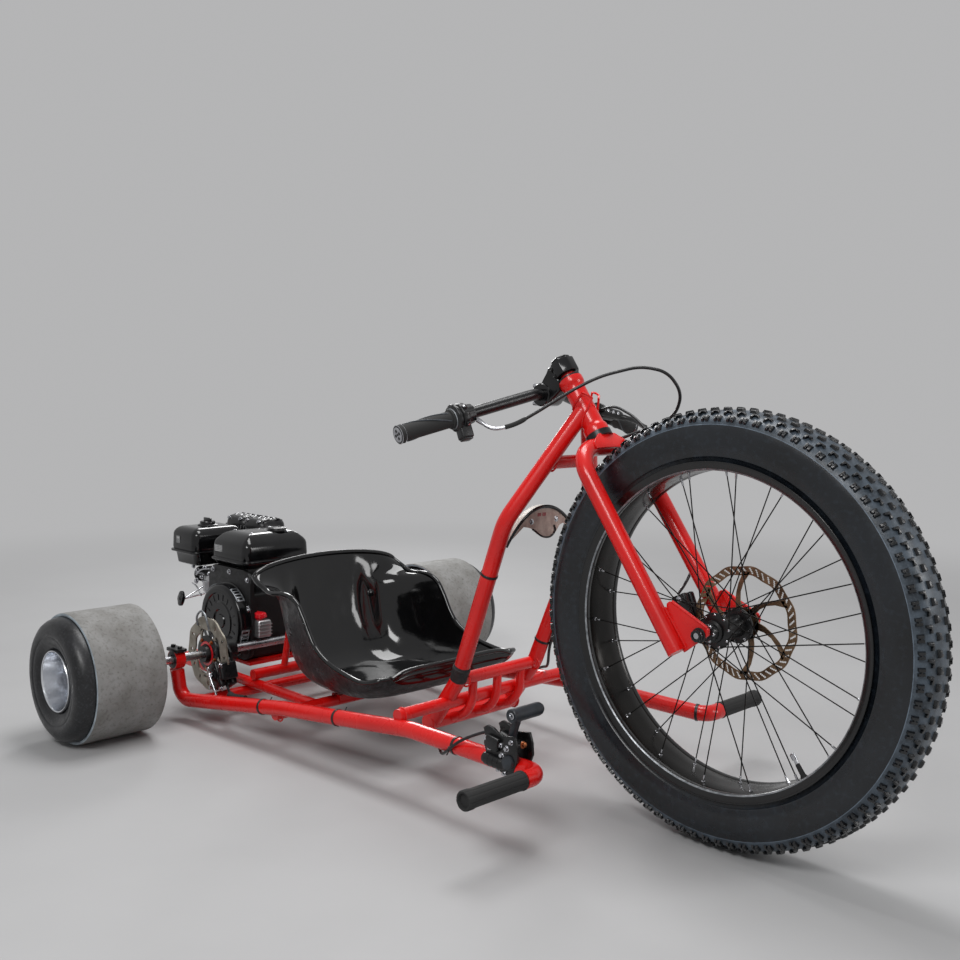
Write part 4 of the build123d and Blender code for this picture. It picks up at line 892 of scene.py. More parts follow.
@dataclass
class Rotor:
    """A wavy slotted disc on curved arms."""

    name: str
    at: Matrix
    radius: float
    band: float
    hub: float
    thick: float
    arms: int
    finish: Finish = BRONZE
    cells: int = 288
    waves: int = 12
    swing: float = 0.0013
    every: int = 6
    gap: int = 2
    reach: tuple[int, int] = (1, 4)

    def make(self, body: Body, *replaced: str) -> None:
        """Makes the disc.

        Args:
            body: The body that it rides on.
            replaced: The frame's nodes that it stands for.
        """
        piece = Piece(self.name)
        self._band(piece)
        for k in range(self.arms):
            start = math.tau * k / self.arms
            middle = [(self.hub + (self.radius - self.band - self.hub) * s, start + 0.5 * s)
                      for s in (-0.08, 0.25, 0.5, 0.75, 1.08)]
            width = [0.0075, 0.005, 0.004, 0.0046, 0.007]
            right, left = ([(r * math.cos(a) + w * s * math.sin(a), r * math.sin(a) - w * s * math.cos(a))
                            for (r, a), w in zip(middle, width)] for s in (1, -1))
            piece.prism(right + left[::-1], self.thick, self.at, self.finish, 0.0003, 1)
        rings = [(self.hub * 0.55, 0.0), (self.hub * 1.15, 0.0), (self.hub * 1.15, self.thick * 1.2),
                 (self.hub * 0.55, self.thick * 1.2)]
        piece.lathe(rings, self.at, self.finish, 48, closed=True)
        piece.done(body, *replaced, sharp=30)

    def _open(self, turn: int, step: int) -> bool:
        """Whether the band's cell at that turn and step outward is part of a slot."""
        return self.reach[0] <= step <= self.reach[1] and (turn + step) % self.every < self.gap

    def _band(self, piece: Piece) -> None:
        """Adds the slotted, wavy friction band."""
        steps = 6
        grid = {}
        for k in range(self.cells):
            angle = math.tau * k / self.cells
            wave = self.swing * math.sin(self.waves * angle)
            for j in range(steps + 1):
                r = self.radius - self.swing + wave - self.band * (1 - j / steps)
                for level in (0, 1):
                    corner = (*polar(r, angle), level * self.thick)
                    grid[k, j, level] = piece.mesh.verts.new(self.at @ Vector(corner))
        index = piece.index(self.finish)

        def face(*keys: tuple[int, int, int]) -> None:
            """Adds one face of the band."""
            piece.mesh.faces.new([grid[key] for key in keys]).material_index = index

        for k in range(self.cells):
            n = (k + 1) % self.cells
            for j in range(steps):
                if self._open(k, j):
                    continue
                face((k, j, 0), (k, j + 1, 0), (n, j + 1, 0), (n, j, 0))
                face((k, j, 1), (n, j, 1), (n, j + 1, 1), (k, j + 1, 1))
                if j == 0 or self._open(k, j - 1):
                    face((k, j, 0), (n, j, 0), (n, j, 1), (k, j, 1))
                if j == steps - 1 or self._open(k, j + 1):
                    face((k, j + 1, 0), (k, j + 1, 1), (n, j + 1, 1), (n, j + 1, 0))
                if self._open((k - 1) % self.cells, j):
                    face((k, j, 0), (k, j, 1), (k, j + 1, 1), (k, j + 1, 0))
                if self._open(n, j):
                    face((n, j, 0), (n, j + 1, 0), (n, j + 1, 1), (n, j, 1))


# --- rear wheels


@dataclass
class KartWheel:
    """A kart tyre on its bright rim inside a grey drift sleeve."""

    side: Side
    wall: float = 0.007

    def __post_init__(self) -> None:
        """Works out the wheel's middle and sizes from its boxes."""
        low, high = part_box(f"sleeve_{self.side.word}")
        self.radius = (high.z - low.z) / 2
        self.centre = Vector(((low.x + high.x) / 2, 0, (low.z + high.z) / 2))
        self.sleeve_in, self.sleeve_out = self._reach(low.y, high.y)
        low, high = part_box(f"kart_tyre_{self.side.word}")
        self.tyre_in, self.tyre_out = self._reach(low.y, high.y)
        low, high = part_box(f"kart_rim_{self.side.word}")
        self.rim_in, self.rim_out = self._reach(low.y, high.y)
        self.rim_radius = (high.z - low.z) / 2
        self.at = place(self.centre, (0, self.side.value, 0))

    @staticmethod
    def _reach(first: float, second: float) -> Point:
        """A node's nearer and farther distance from the middle plane."""
        near, far = sorted((abs(first), abs(second)))
        return near, far

    def sleeve(self) -> None:
        """Makes the sleeve with worn edges."""
        piece = Piece(f"drift_sleeve_{self.side.word}")
        r, t = self.radius, self.wall
        low, high = self.sleeve_in, self.sleeve_out
        outside = [(r - t, low + 0.001), (r - t + 0.0015, low), (r - 0.0025, low), (r - 0.0008, low + 0.0008),
                   (r, low + 0.003)]
        spans = [(r, low + (high - low) * k / 8) for k in range(1, 8)]
        far = [(r, high - 0.003), (r - 0.0008, high - 0.0008), (r - 0.0025, high), (r - t + 0.0015, high),
               (r - t, high - 0.001)]
        profile = outside + spans + far
        finishes = [PALE_END] * 2 + [SLEEVE] * (len(profile) - 6) + [PALE_END] * 3 + [SLEEVE]
        piece.lathe(profile, self.at, finishes, 128, closed=True)
        piece.done(Body.REAR_AXLE, f"sleeve_{self.side.word}", slot="sleeve_plastic")

    def tyre(self) -> None:
        """Makes the slick tyre with its bulging walls."""
        piece = Piece(f"kart_slick_{self.side.word}")
        top, rim = self.radius - self.wall - 0.0003, self.rim_radius + 0.0003
        wall = top - rim
        shape = ((1.0, -0.05), (1.0, -0.036), (0.985, -0.026), (0.95, -0.0165), (0.88, -0.0085),
                 (0.78, -0.0034), (0.66, -0.0006), (0.54, 0.0), (0.45, -0.0004), (0.43, -0.0016),
                 (0.4, -0.001), (0.28, -0.003), (0.17, -0.0066), (0.15, -0.008), (0.09, -0.0092),
                 (0.03, -0.0125), (0.0, -0.02))
        outer = [(rim + wall * share, self.tyre_out + back) for share, back in shape]
        inner = [(r, self.tyre_in + (self.tyre_out - y)) for r, y in outer[::-1]]
        piece.lathe(outer + inner, self.at, KART, 128, closed=True)
        piece.done(Body.REAR_AXLE, f"kart_tyre_{self.side.word}", slot="kart_rubber")

    def rim(self) -> None:
        """Makes the stepped alloy rim with its centre, nuts and the axle's collar."""
        piece = Piece(f"alloy_rim_{self.side.word}")
        r, out, back = self.rim_radius, self.rim_out, self.rim_in
        middle = (out + back) / 2
        profile = [(r, out - 0.01), (r + 0.0002, out - 0.002), (r - 0.001, out), (r - 0.003, out - 0.0008),
                   (r - 0.0042, out - 0.004), (r - 0.0048, out - 0.02), (r - 0.0072, out - 0.026),
                   (r - 0.0078, middle + 0.012), (0.03, middle + 0.004), (0.026, middle + 0.012),
                   (0.011, middle + 0.013), (0.011, middle - 0.01), (0.026, middle - 0.009),
                   (0.03, middle - 0.005), (r - 0.0078, middle - 0.006), (r - 0.0065, back + 0.012),
                   (r - 0.0035, back + 0.002), (r - 0.001, back), (r, back + 0.002), (r, back + 0.01)]
        piece.lathe(profile, self.at, ALLOY, 96, closed=True)
        for x, y in polygon(4, 0.041, 0.4):
            piece.bolt(shifted(self.at, x, y, middle + 0.006), 0.013, 0.01, CHROME)
        piece.done(Body.REAR_AXLE, f"kart_rim_{self.side.word}", slot="rim_alloy")

    def make(self) -> None:
        """Makes every piece of the wheel."""
        self.sleeve()
        self.tyre()
        self.rim()


# --- seat


@dataclass(frozen=True)
class SeatStation:
    """A section of the bucket: its middle and rim points, its half width and how square it is."""

    low: Point
    rim: Point
    half: float
    square: float


@dataclass
class Seat:
    """The one-piece glossy bucket with a rolled rim, a thick front lip, creases and bolts."""

    low: Vector
    high: Vector
    thick: float = 0.0045
    bead: float = 0.0058
    taper: float = 0.18
    lip: float = 0.028
    lip_start: float = 0.74
    steps: int = 16
    creases: tuple[tuple[float, float, float], ...] = ((0.05, 0.005, 0.011), (0.118, 0.0065, 0.013))
    creased: float = 0.62
    stations: tuple[SeatStation, ...] = (
        SeatStation((0.002, 0.285), (0.04, 0.25), 0.204, 2.0),
        SeatStation((0.005, 0.262), (0.1, 0.236), 0.209, 2.2),
        SeatStation((0.011, 0.23), (0.185, 0.223), 0.211, 2.6),
        SeatStation((0.019, 0.195), (0.31, 0.227), 0.212, 3.0),
        SeatStation((0.033, 0.16), (0.385, 0.217), 0.212, 3.2),
        SeatStation((0.052, 0.124), (0.435, 0.19), 0.212, 3.3),
        SeatStation((0.085, 0.085), (0.485, 0.153), 0.211, 3.4),
        SeatStation((0.142, 0.044), (0.535, 0.127), 0.211, 3.4),
        SeatStation((0.238, 0.015), (0.6, 0.109), 0.211, 3.4),
        SeatStation((0.4, 0.005), (0.675, 0.097), 0.211, 3.4),
        SeatStation((0.58, 0.007), (0.77, 0.088), 0.211, 3.3),
        SeatStation((0.72, 0.018), (0.855, 0.084), 0.211, 3.2),
        SeatStation((0.839, 0.036), (0.918, 0.088), 0.209, 3.1),
        SeatStation((0.93, 0.056), (0.962, 0.094), 0.2, 3.0),
        SeatStation((0.986, 0.076), (0.985, 0.098), 0.176, 3.0))

    def _half(self, station: SeatStation) -> list[Vector]:
        """Points of one station from the middle of its bottom to its rim on the left."""
        low = Vector((self.low.x + station.low[0] * self.length, 0, self.low.z + station.low[1]))
        rim = Vector((self.low.x + station.rim[0] * self.length, 0, self.low.z + station.rim[1]))
        up = rim - low
        taper = self.taper * min(1.0, up.length / 0.12)
        points = []
        for k in range(self.steps + 1):
            angle = math.pi / 2 * k / self.steps
            lift = 1.0 - max(0.0, math.cos(angle)) ** (2 / station.square)
            out = station.half * math.sin(angle) ** (2 / station.square) * (1.0 - taper * (1.0 - lift))
            points.append(low + up * lift + Vector((0, out, 0)))
        return points

    def _surface(self) -> list[list[Vector]]:
        """The shell's outside as smooth rows from the back's top to the front lip."""
        halves = [self._half(station) for station in self.stations]
        columns = [smooth_line([half[k] for half in halves], 6) for k in range(len(halves[0]))]
        rows = []
        for j in range(len(columns[0])):
            half = [column[j].copy() for column in columns]
            rows.append([Vector((p.x, -p.y, p.z)) for p in half[:0:-1]] + half)
        return rows

    def make(self) -> None:
        """Makes the shell, its rolled rim, its front lip and its bolts."""
        self.length = self.high.x - self.low.x
        rows = self._surface()
        inner = self._inside(rows)
        piece = Piece("seat_bucket")
        self._skin(piece, rows, SCUFFED)
        self._skin(piece, inner, SEAT)
        piece.tube(self._edge(inner), self.bead, SEAT, 12, closed=True)
        front = [[a.lerp(b, share) + Vector((0.004 * math.sin(math.pi * share), 0, 0))
                  for a, b in zip(rows[-1], inner[-1])] for share in (0.0, 0.25, 0.5, 0.75, 1.0)]
        self._skin(piece, front, SEAT)
        self._bolts(piece, inner)
        piece.done(Body.FRAME, "seat_shell", slot="seat_gloss", sharp=60)

    def _inside(self, rows: list[list[Vector]]) -> list[list[Vector]]:
        """The shell's inner face, offset inward, with its creases and raised front."""
        made = []
        for j, row in enumerate(rows):
            line = []
            share = j / (len(rows) - 1)
            raised = max(0.0, (share - self.lip_start) / (1.0 - self.lip_start))
            raised = self.lip * raised * raised * (3.0 - 2.0 * raised)
            edge = row[-1].y
            for k, point in enumerate(row):
                along = rows[min(j + 1, len(rows) - 1)][k] - rows[max(j - 1, 0)][k]
                across = row[min(k + 1, len(row) - 1)] - row[max(k - 1, 0)]
                normal = along.cross(across).normalized()
                fade = math.sin(math.pi * min(1.0, share / self.creased)) ** 1.5
                crease = 0.0
                for out, tall, width in self.creases:
                    crease += tall * math.exp(-((abs(point.y) - out) / width) ** 2) * fade
                lift = Vector((0, 0, raised * (1.0 - min(1.0, abs(point.y) / edge) ** 6)))
                line.append(point + normal * (self.thick + crease) + lift)
            made.append(line)
        return made

    @staticmethod
    def _skin(piece: Piece, rows: list[list[Vector]], finish: Finish) -> None:
        """Covers rows of points with faces of one finish."""
        width = len(rows[0])
        corners = [p for row in rows for p in row]
        faces = [(j * width + k, j * width + k + 1, (j + 1) * width + k + 1, (j + 1) * width + k)
                 for j in range(len(rows) - 1) for k in range(width - 1)]
        piece.add(corners, faces, finish)

    @staticmethod
    def _edge(inner: list[list[Vector]]) -> list[Vector]:
        """The rim's line, along the inner face's edge all the way round."""
        last, width = len(inner) - 1, len(inner[0]) - 1
        line = [inner[0][k] for k in range(width)]
        line += [inner[j][width] for j in range(last)]
        line += [inner[last][k] for k in range(width, 0, -1)]
        line += [inner[j][0] for j in range(last, 0, -1)]
        return line

    def _bolts(self, piece: Piece, inner: list[list[Vector]]) -> None:
        """Adds the dome bolts that hold the shell to its struts."""
        middle = self.steps
        for j, k in ((22, middle - 6), (22, middle + 6), (54, middle - 5), (54, middle + 5)):
            point = inner[j][k]
            along, across = inner[j + 1][k] - inner[j - 1][k], inner[j][k + 1] - inner[j][k - 1]
            normal = along.cross(across).normalized()
            if normal.z < 0:
                normal = -normal
            at = place(point, normal)
            piece.lathe([(0.009, -0.001), (0.009, 0.0012), (0.0085, 0.0018), (0.001, 0.0018)], at, GLOSS, 24)
            piece.dome(0.0055, 0.0042, shifted(at, z=0.0015), GLOSS, 16)


# --- reading the frame


@dataclass(frozen=True)
class Box:
    """A box in the row frame."""

    low: Vector
    high: Vector

    @classmethod
    def of(cls, node: str) -> "Box":
        """The box of that node."""
        low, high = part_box(node)
        return cls(Vector(low), Vector(high))

    @property
    def middle(self) -> Vector:
        """The box's middle."""
        return (self.low + self.high) / 2

    @property
    def size(self) -> Vector:
        """The box's length, width and height."""
        return self.high - self.low

    def at(self, x: float, y: float, z: float) -> Vector:
        """The point at those shares of the box."""
        return Vector(low + share * (high - low)
                      for low, high, share in zip(self.low, self.high, (x, y, z)))


@dataclass(frozen=True)
class BarLine:
    """The middle line of a bar, read off sections across one axis of a node's mesh."""

    node: bpy.types.Object
    axis: int
    side: int = 0

    def middle(self, value: float) -> Vector:
        """The middle of the section at that value of the axis.

        Args:
            value: Where the section lies.

        Returns:
            The middle of the section's box.
        """
        found = []
        vertices = self.node.data.vertices
        for edge in self.node.data.edges:
            first, second = (vertices[k].co for k in edge.vertices)
            before, after = first[self.axis] - value, second[self.axis] - value
            if before * after < 0 and (first.y + second.y) * self.side >= 0:
                found.append(first.lerp(second, before / (before - after)))
        low, high = (Vector(limit(p[k] for p in found) for k in range(3)) for limit in (min, max))
        return (low + high) / 2

    def place(self, value: float, across: Sequence[float] = (1, 0, 0)) -> Matrix:
        """A place on the line, with its Z along the bar.

        Args:
            value: Where on the axis it lies.
            across: The direction that its X leans to.

        Returns:
            The place.
        """
        here = self.middle(value)
        return place(here, self.middle(value + 0.004) - here, across)




def rounded_box(low: Sequence[float], high: Sequence[float], corner: float, inset: float, z: float,
                steps: int = 6) -> list[Vector]:
    """A level outline with rounded corners.

    Args:
        low: The least X and Y of the whole outline.
        high: The greatest X and Y of the whole outline.
        corner: The corners' radius.
        inset: How far the outline is drawn in.
        z: Its height.
        steps: Stretches in each corner.

    Returns:
        The outline's points.
    """
    radius = max(corner - inset * 0.6, 0.002)
    made = []
    for quarter, (x, y) in enumerate(((high[0], high[1]), (low[0], high[1]), (low[0], low[1]),
                                      (high[0], low[1]))):
        sign_x, sign_y = (1, -1, -1, 1)[quarter], (1, 1, -1, -1)[quarter]
        centre = Vector((x - sign_x * (inset + radius), y - sign_y * (inset + radius), z))
        for step in range(steps + 1):
            angle = math.pi / 2 * (quarter + step / steps)
            made.append(centre + radius * Vector((math.cos(angle), math.sin(angle), 0)))
    return made


# --- engine


@dataclass
class Engine:
    """The single-cylinder engine's outside: tank, air box, heat shield, starter and small parts."""

    corner: float = 0.022
    tank_height: float = 0.086
    air_box_height: float = 0.098
    oil_height: float = 0.042
    drum_radius: float = 0.092
    drum_depth: float = 0.03
    drum_ribs: int = 18
    slot_panels: int = 5
    slot_turn: float = 0.108
    knob_span: float = 0.0165
    slats: int = 7
    shield_drop: float = 0.009

    def _box(self, piece: Piece, box: Box, levels: Sequence[Point], finish: Finish) -> None:
        """Adds a moulded box.

        Args:
            piece: The piece.
            box: Its limits.
            levels: Height share and inset of each level, bottom first.
            finish: The finish.
        """
        rings = [rounded_box(box.low, box.high, self.corner, inset, box.at(0, 0, share).z)
                 for share, inset in levels]
        piece.rings(rings, finish)

    def tank(self) -> None:
        """Makes the fuel tank with its rolled seam, chamfered top, blank label and cap."""
        piece = Piece("fuel_tank_moulded")
        node = Box.of("fuel_tank")
        box = Box(node.low, Vector((node.high.x, node.high.y, node.low.z + self.tank_height)))
        self._box(piece, box, ((0.0, 0.02), (0.05, 0.011), (0.14, 0.0055), (0.18, 0.0005), (0.195, 0.0),
                               (0.225, 0.0), (0.24, 0.0005), (0.27, 0.005), (0.34, 0.0042),
                               (0.62, 0.0055), (0.7, 0.0075), (0.78, 0.0125), (0.9, 0.0245),
                               (0.955, 0.0325), (0.985, 0.04), (1.0, 0.05)), GLOSS)
        face = place(box.at(0.24, 0, 0.5) + Vector((0, 0.005, 0)), (0, -1, 0), (1, 0, 0))
        piece.block((0.036, 0.019, 0.0008), face, LABEL, 0.0003)
        for k in range(4):
            piece.block((0.03, 0.0022, 0.001), shifted(face, y=0.006 - 0.004 * k), LABEL_MARK, 0.0002)
        filler = place(box.at(0.66, 0.66, 1) - Vector((0, 0, 0.001)))
        wave = [(0.026, 0.0), (0.026, 0.0025), (0.024, 0.0032), (0.023, 0.0068), (0.0215, 0.0078),
                (0.012, 0.0082), (0.011, 0.0072), (0.001, 0.0072)]
        piece.lathe(wave, filler, BLACK, 40)
        for x, y in polygon(4, 0.05, 0.7):
            piece.bolt(place(box.middle + Vector((x * 1.2, y * 1.4, 0.041))), 0.008, 0.003, CHROME)
        piece.done(Body.FRAME, "fuel_tank", slot="engine_black")

    def air_box(self) -> None:
        """Makes the air box with its flange, waisted foot, blank label and winged knob."""
        piece = Piece("air_box_moulded")
        node = Box.of("air_cleaner")
        top = node.low.z + self.air_box_height
        box = Box(node.low, Vector((node.high.x, node.high.y, top)))
        self._box(piece, box, ((0.0, 0.02), (0.03, 0.016), (0.28, 0.012), (0.32, 0.0085), (0.335, 0.0005),
                               (0.345, 0.0), (0.375, 0.0), (0.385, 0.0005), (0.4, 0.0055), (0.46, 0.0045),
                               (0.8, 0.0058), (0.86, 0.0075), (0.92, 0.012), (0.965, 0.018),
                               (0.99, 0.0245), (1.0, 0.034)), GLOSS)
        face = place(box.at(0.34, 0, 0.66) + Vector((0, 0.0046, 0)), (0, -1, 0), (1, 0, 0))
        piece.block((0.017, 0.019, 0.0008), face, LABEL, 0.0003)
        piece.block((0.013, 0.0045, 0.001), shifted(face, y=0.0045), LABEL_MARK, 0.0002)
        knob = place(box.at(0.5, 0.5, 1) - Vector((0, 0, 0.001)))
        piece.lathe([(0.026, 0.0), (0.026, 0.0025), (0.0225, 0.0048), (0.0205, 0.005)], knob, BLACK, 40)
        piece.lathe([(0.0195, 0.004), (0.0198, 0.01), (0.0186, 0.0125), (0.001, 0.0128)], knob, GLOSS, 40,
                    wave=lambda angle: 1 + 0.018 * math.cos(14 * angle))
        piece.block((0.033, 0.0062, 0.0105), shifted(knob, z=0.016), GLOSS, 0.0018)
        piece.done(Body.FRAME, "air_cleaner", slot="black_plastic")

    def heat_shield(self) -> None:
        """Makes the silencer under its two louvred lobes."""
        piece = Piece("heat_shield")
        node = Box.of("muffler")
        middle = node.middle.x
        for near, far in ((node.low.x, middle + 0.002), (middle - 0.002, node.high.x)):
            box = Box(Vector((near, node.low.y, node.low.z)),
                      Vector((far, node.high.y, node.high.z - self.shield_drop)))
            self._box(piece, box, ((0.0, 0.01), (0.05, 0.003), (0.12, 0.0), (0.78, 0.0), (0.86, 0.0012),
                                   (0.93, 0.0048), (0.975, 0.0105), (1.0, 0.019)), BLACK)
            # The louvres' pale metal colour paints the highlights along their edges.
            for k in range(self.slats):
                share = (k + 0.75) / (self.slats + 0.5)
                place_x = box.low.x + share * box.size.x
                for end in (-1, 1):
                    at = place((place_x, box.middle.y + end * 0.0205, box.high.z - 0.0022),
                               (0.3 * (1 if k % 2 else -1), end * 0.22, 1), (1, 0.35, 0))
                    piece.block((0.0052, 0.03, 0.0032), at, LOUVRE_HIGHLIGHT, 0.0012)
                at = place((place_x, box.low.y - 0.0004, box.at(0, 0, 0.62).z), (0, -1, 0.15), (1, 0, 0))
                piece.block((0.0042, 0.03, 0.0026), at, LOUVRE_HIGHLIGHT, 0.001)
            for x in (0.2, 0.8):
                piece.bolt(place(box.at(x, 0.06, 0.93), (0, -0.5, 1)), 0.0075, 0.004, CHROME)
        piece.tube([node.at(0.15, 1, 0.35), node.at(0.02, 1.0, 0.35), node.at(0.07, 0.92, 0.3)], 0.0105,
                   STEEL, 20)
        piece.done(Body.FRAME, "muffler", slot="black_metal")

    def starter(self) -> None:
        """Makes the fan shroud, the starter's drum with its slotted rim, and the rope's handle."""
        piece = Piece("recoil_starter")
        node = Box.of("recoil_housing")
        crank, radius, depth = Box.of("clutch").middle, self.drum_radius, self.drum_depth
        foot_y = node.low.y + depth
        outline = Box(Vector((node.low.x, foot_y, node.low.z)), node.high)
        shroud = place((0, outline.high.y, 0), (0, -1, 0), (1, 0, 0))
        flat = [shroud.inverted() @ Vector((p.x, 0, p.y)) for p in rounded_box(
            (outline.low.x, outline.low.z), (outline.high.x, outline.high.z), 0.03, 0.0, 0.0)]
        piece.prism([(p.x, p.y) for p in flat], outline.size.y, shroud, CAST, 0.004, 3)
        at = place((crank.x, foot_y, crank.z), (0, -1, 0), (1, 0, 0))
        rim = [(radius + 0.003, -0.001), (radius + 0.003, 0.0022), (radius, 0.0034), (radius, depth - 0.007),
               (radius - 0.002, depth - 0.003), (radius - 0.006, depth - 0.0008), (radius - 0.01, depth),
               (radius - 0.02, depth), (radius - 0.022, depth - 0.003), (0.05, depth - 0.003),
               (0.047, depth - 0.0005), (0.03, depth - 0.0005), (0.027, depth - 0.004),
               (0.018, depth - 0.004), (0.016, depth - 0.0012), (0.001, depth - 0.001)]
        piece.lathe(rim, at, GLOSS, 128)
        for k in range(self.slot_panels):
            self._slots(piece, turned(at, math.radians(52) + math.tau * k / self.slot_panels))
        for k in range(self.drum_ribs):
            angle = math.tau * k / self.drum_ribs
            spoke = shifted(at, *polar(0.06, angle), depth - 0.0026)
            piece.block((0.015, 0.0045, 0.002), turned(spoke, angle), BLACK, 0.0007)
        for x, y in polygon(3, 0.083, 0.4):
            piece.bolt(shifted(at, x * 1.12, y * 1.12, -0.0004), 0.009, 0.006, CHROME)
        handle = place(at @ Vector((radius * 0.86, -radius * 0.62, depth * 0.5)), (0.9, -0.25, -0.4))
        piece.lathe([(0.005, -0.006), (0.0075, 0.0), (0.0075, 0.003), (0.005, 0.006)], handle, RUBBER, 20)
        piece.block((0.012, 0.03, 0.011), shifted(handle, z=0.01), RUBBER, 0.004, 3)
        piece.done(Body.FRAME, "recoil_housing", slot="engine_black")

    def _slots(self, piece: Piece, panel: Matrix) -> None:
        """Adds a raised panel of four slots to the drum's rim.

        Args:
            piece: The starter.
            panel: The drum's place, its Z outward and its X toward the panel's middle.
        """
        out, depth = self.drum_radius + 0.0012, self.drum_depth
        for k in range(5):
            bar = shifted(turned(panel, (k - 2) * self.slot_turn), x=out, z=depth / 2 - 0.001)
            piece.block((0.0022, 0.0042, depth - 0.01), bar, EDGE, 0.0007)
        for height in (0.0046, depth - 0.0066):
            for k in range(4):
                bar = shifted(turned(panel, (k - 1.5) * self.slot_turn), x=out, z=height)
                piece.block((0.0022, 0.0112, 0.0032), bar, EDGE, 0.0006)

    def fittings(self) -> None:
        """Makes the carburettor with its bolts, links, spring and choke knob."""
        piece = Piece("carburettor_and_links")
        node = Box.of("carburettor")
        throat = place(node.at(0.5, 0.5, 0.62), (1, 0.1, 0))
        piece.lathe([(0.02, -0.05), (0.02, -0.044), (0.016, -0.043), (0.016, 0.044), (0.02, 0.046),
                     (0.02, 0.052)], throat, CAST, 32)
        bowl = place(node.at(0.5, 0.42, 0.02), (0, 0, 1))
        piece.lathe([(0.004, 0.0), (0.016, 0.001), (0.0195, 0.005), (0.0205, 0.026), (0.023, 0.028),
                     (0.023, 0.032), (0.017, 0.034), (0.016, 0.044)], bowl, CAST_ALLOY, 32)
        piece.bolt(place(node.at(0.5, 0.42, 0.03), (0, 0, -1)), 0.01, 0.005, CHROME)
        piece.block((0.06, 0.03, 0.046), place(node.at(0.5, 0.55, 0.6)), CAST, 0.005, 3)
        for x, z, size in ((0.1, 0.92, 0.0075), (0.28, 0.8, 0.009), (0.6, 0.98, 0.007),
                           (0.8, 0.78, 0.0085), (0.22, 0.4, 0.01), (0.46, 0.6, 0.007)):
            at = place(node.at(x, 0, z) + Vector((0, 0.006, 0)), (0, -1, 0.2))
            piece.bolt(at, size, 0.006, CHROME)
        lever = [node.at(0.95, -0.05, 1.02), node.at(0.62, -0.1, 0.92), node.at(0.4, -0.12, 0.7)]
        piece.tube(smooth_line(lever), 0.0022, CHROME, 10)
        piece.tube(smooth_line([node.at(0.2, -0.1, 0.35), node.at(0.55, -0.25, 0.3),
                                node.at(0.85, -0.35, 0.05)]), 0.002, CHROME, 10)
        spring = [node.at(0.3, -0.08, 0.78) + Vector((0.0007 * k, 0.0022 * math.cos(k * 0.9),
                                                      0.0022 * math.sin(k * 0.9))) for k in range(64)]
        piece.tube(spring, 0.0006, CHROME, 6)
        knob = place((node.low.x + 0.044, node.low.y - 0.048, node.low.z - 0.008), (-0.1, -1, 0.15))
        oval = [(x * 0.86, y * 1.18) for x, y in polygon(28, self.knob_span)]
        piece.prism(oval, 0.008, knob, GLOSS, 0.0025, 3)
        piece.dome(0.006, 0.003, shifted(knob, z=0.0075), BLACK)
        for start in (node.at(0.6, 0, 0.3), node.at(0.78, 0, 0.1)):
            piece.tube([start, knob.translation + Vector((0.004, 0.002, 0.0))], 0.0024, CHROME, 10)
        piece.done(Body.FRAME, "carburettor", slot="engine_black")

    def case_parts(self) -> None:
        """Adds bolts and the spark plug's cap to the plain case."""
        piece = Piece("case_fittings")
        case = Box.of("engine_block")
        shroud = Box.of("recoil_housing")
        for x, z in ((0.1, 0.94), (0.5, 0.95), (0.93, 0.9), (0.94, 0.6), (0.93, 0.12), (0.08, 0.12)):
            spot = shroud.at(x, 0, z) + Vector((0, 0.0305, 0))
            piece.bolt(place(spot, (0, -1, 0)), 0.0085, 0.0045, CHROME)
        for y in (0.14, 0.86):
            spot = case.at(1, y, 0.3) - Vector((0.0005, 0, 0))
            piece.bolt(place(spot, (1, 0, 0)), 0.01, 0.005, CHROME)
        plug = place(case.at(0.0, 0.5, 0.86) + Vector((0.012, 0, 0)), (-0.9, 0, 0.45))
        piece.lathe([(0.01, -0.004), (0.01, 0.004), (0.0065, 0.005), (0.0065, 0.016), (0.008, 0.018),
                     (0.0085, 0.034), (0.006, 0.038)], plug, RUBBER, 20)
        piece.done(Body.FRAME)

    def oil(self) -> None:
        """Makes the bright finned oil block with its red screw cap."""
        piece = Piece("oil_filler_and_cap")
        node = Box.of("oil_filler")
        top = node.low.z + self.oil_height
        box = Box(node.low, Vector((node.high.x, node.high.y, top)))
        rings = [rounded_box(box.low, box.high, 0.005, inset, box.at(0, 0, share).z)
                 for share, inset in ((0.0, 0.002), (0.04, 0.0), (0.9, 0.0), (0.96, 0.0012), (1.0, 0.004))]
        piece.rings(rings, CAST_ALLOY)
        for k in range(4):
            z = box.at(0, 0, 0.16 + 0.2 * k).z
            piece.block((box.size.x + 0.0024, box.size.y + 0.0024, 0.0022),
                        place((box.middle.x, box.middle.y, z)), CAST_ALLOY, 0.0009)
        at = place((box.middle.x, box.middle.y, top - 0.0005))
        piece.lathe([(0.0105, 0.0), (0.0105, 0.005), (0.0165, 0.0055), (0.017, 0.008), (0.015, 0.015),
                     (0.0105, 0.0175), (0.001, 0.0182)], at, CAP_RED, 48,
                    wave=lambda angle: 1 + 0.035 * math.cos(9 * angle))
        piece.block((0.024, 0.005, 0.006), shifted(at, z=0.0165), CAP_RED, 0.0016)
        piece.done(Body.FRAME, "oil_filler", slot="cast_alloy")

    def make(self) -> None:
        """Makes every piece of the engine."""
        self.tank()
        self.air_box()
        self.heat_shield()
        self.starter()
        self.fittings()
        self.case_parts()
        self.oil()


# --- drive and rear brake


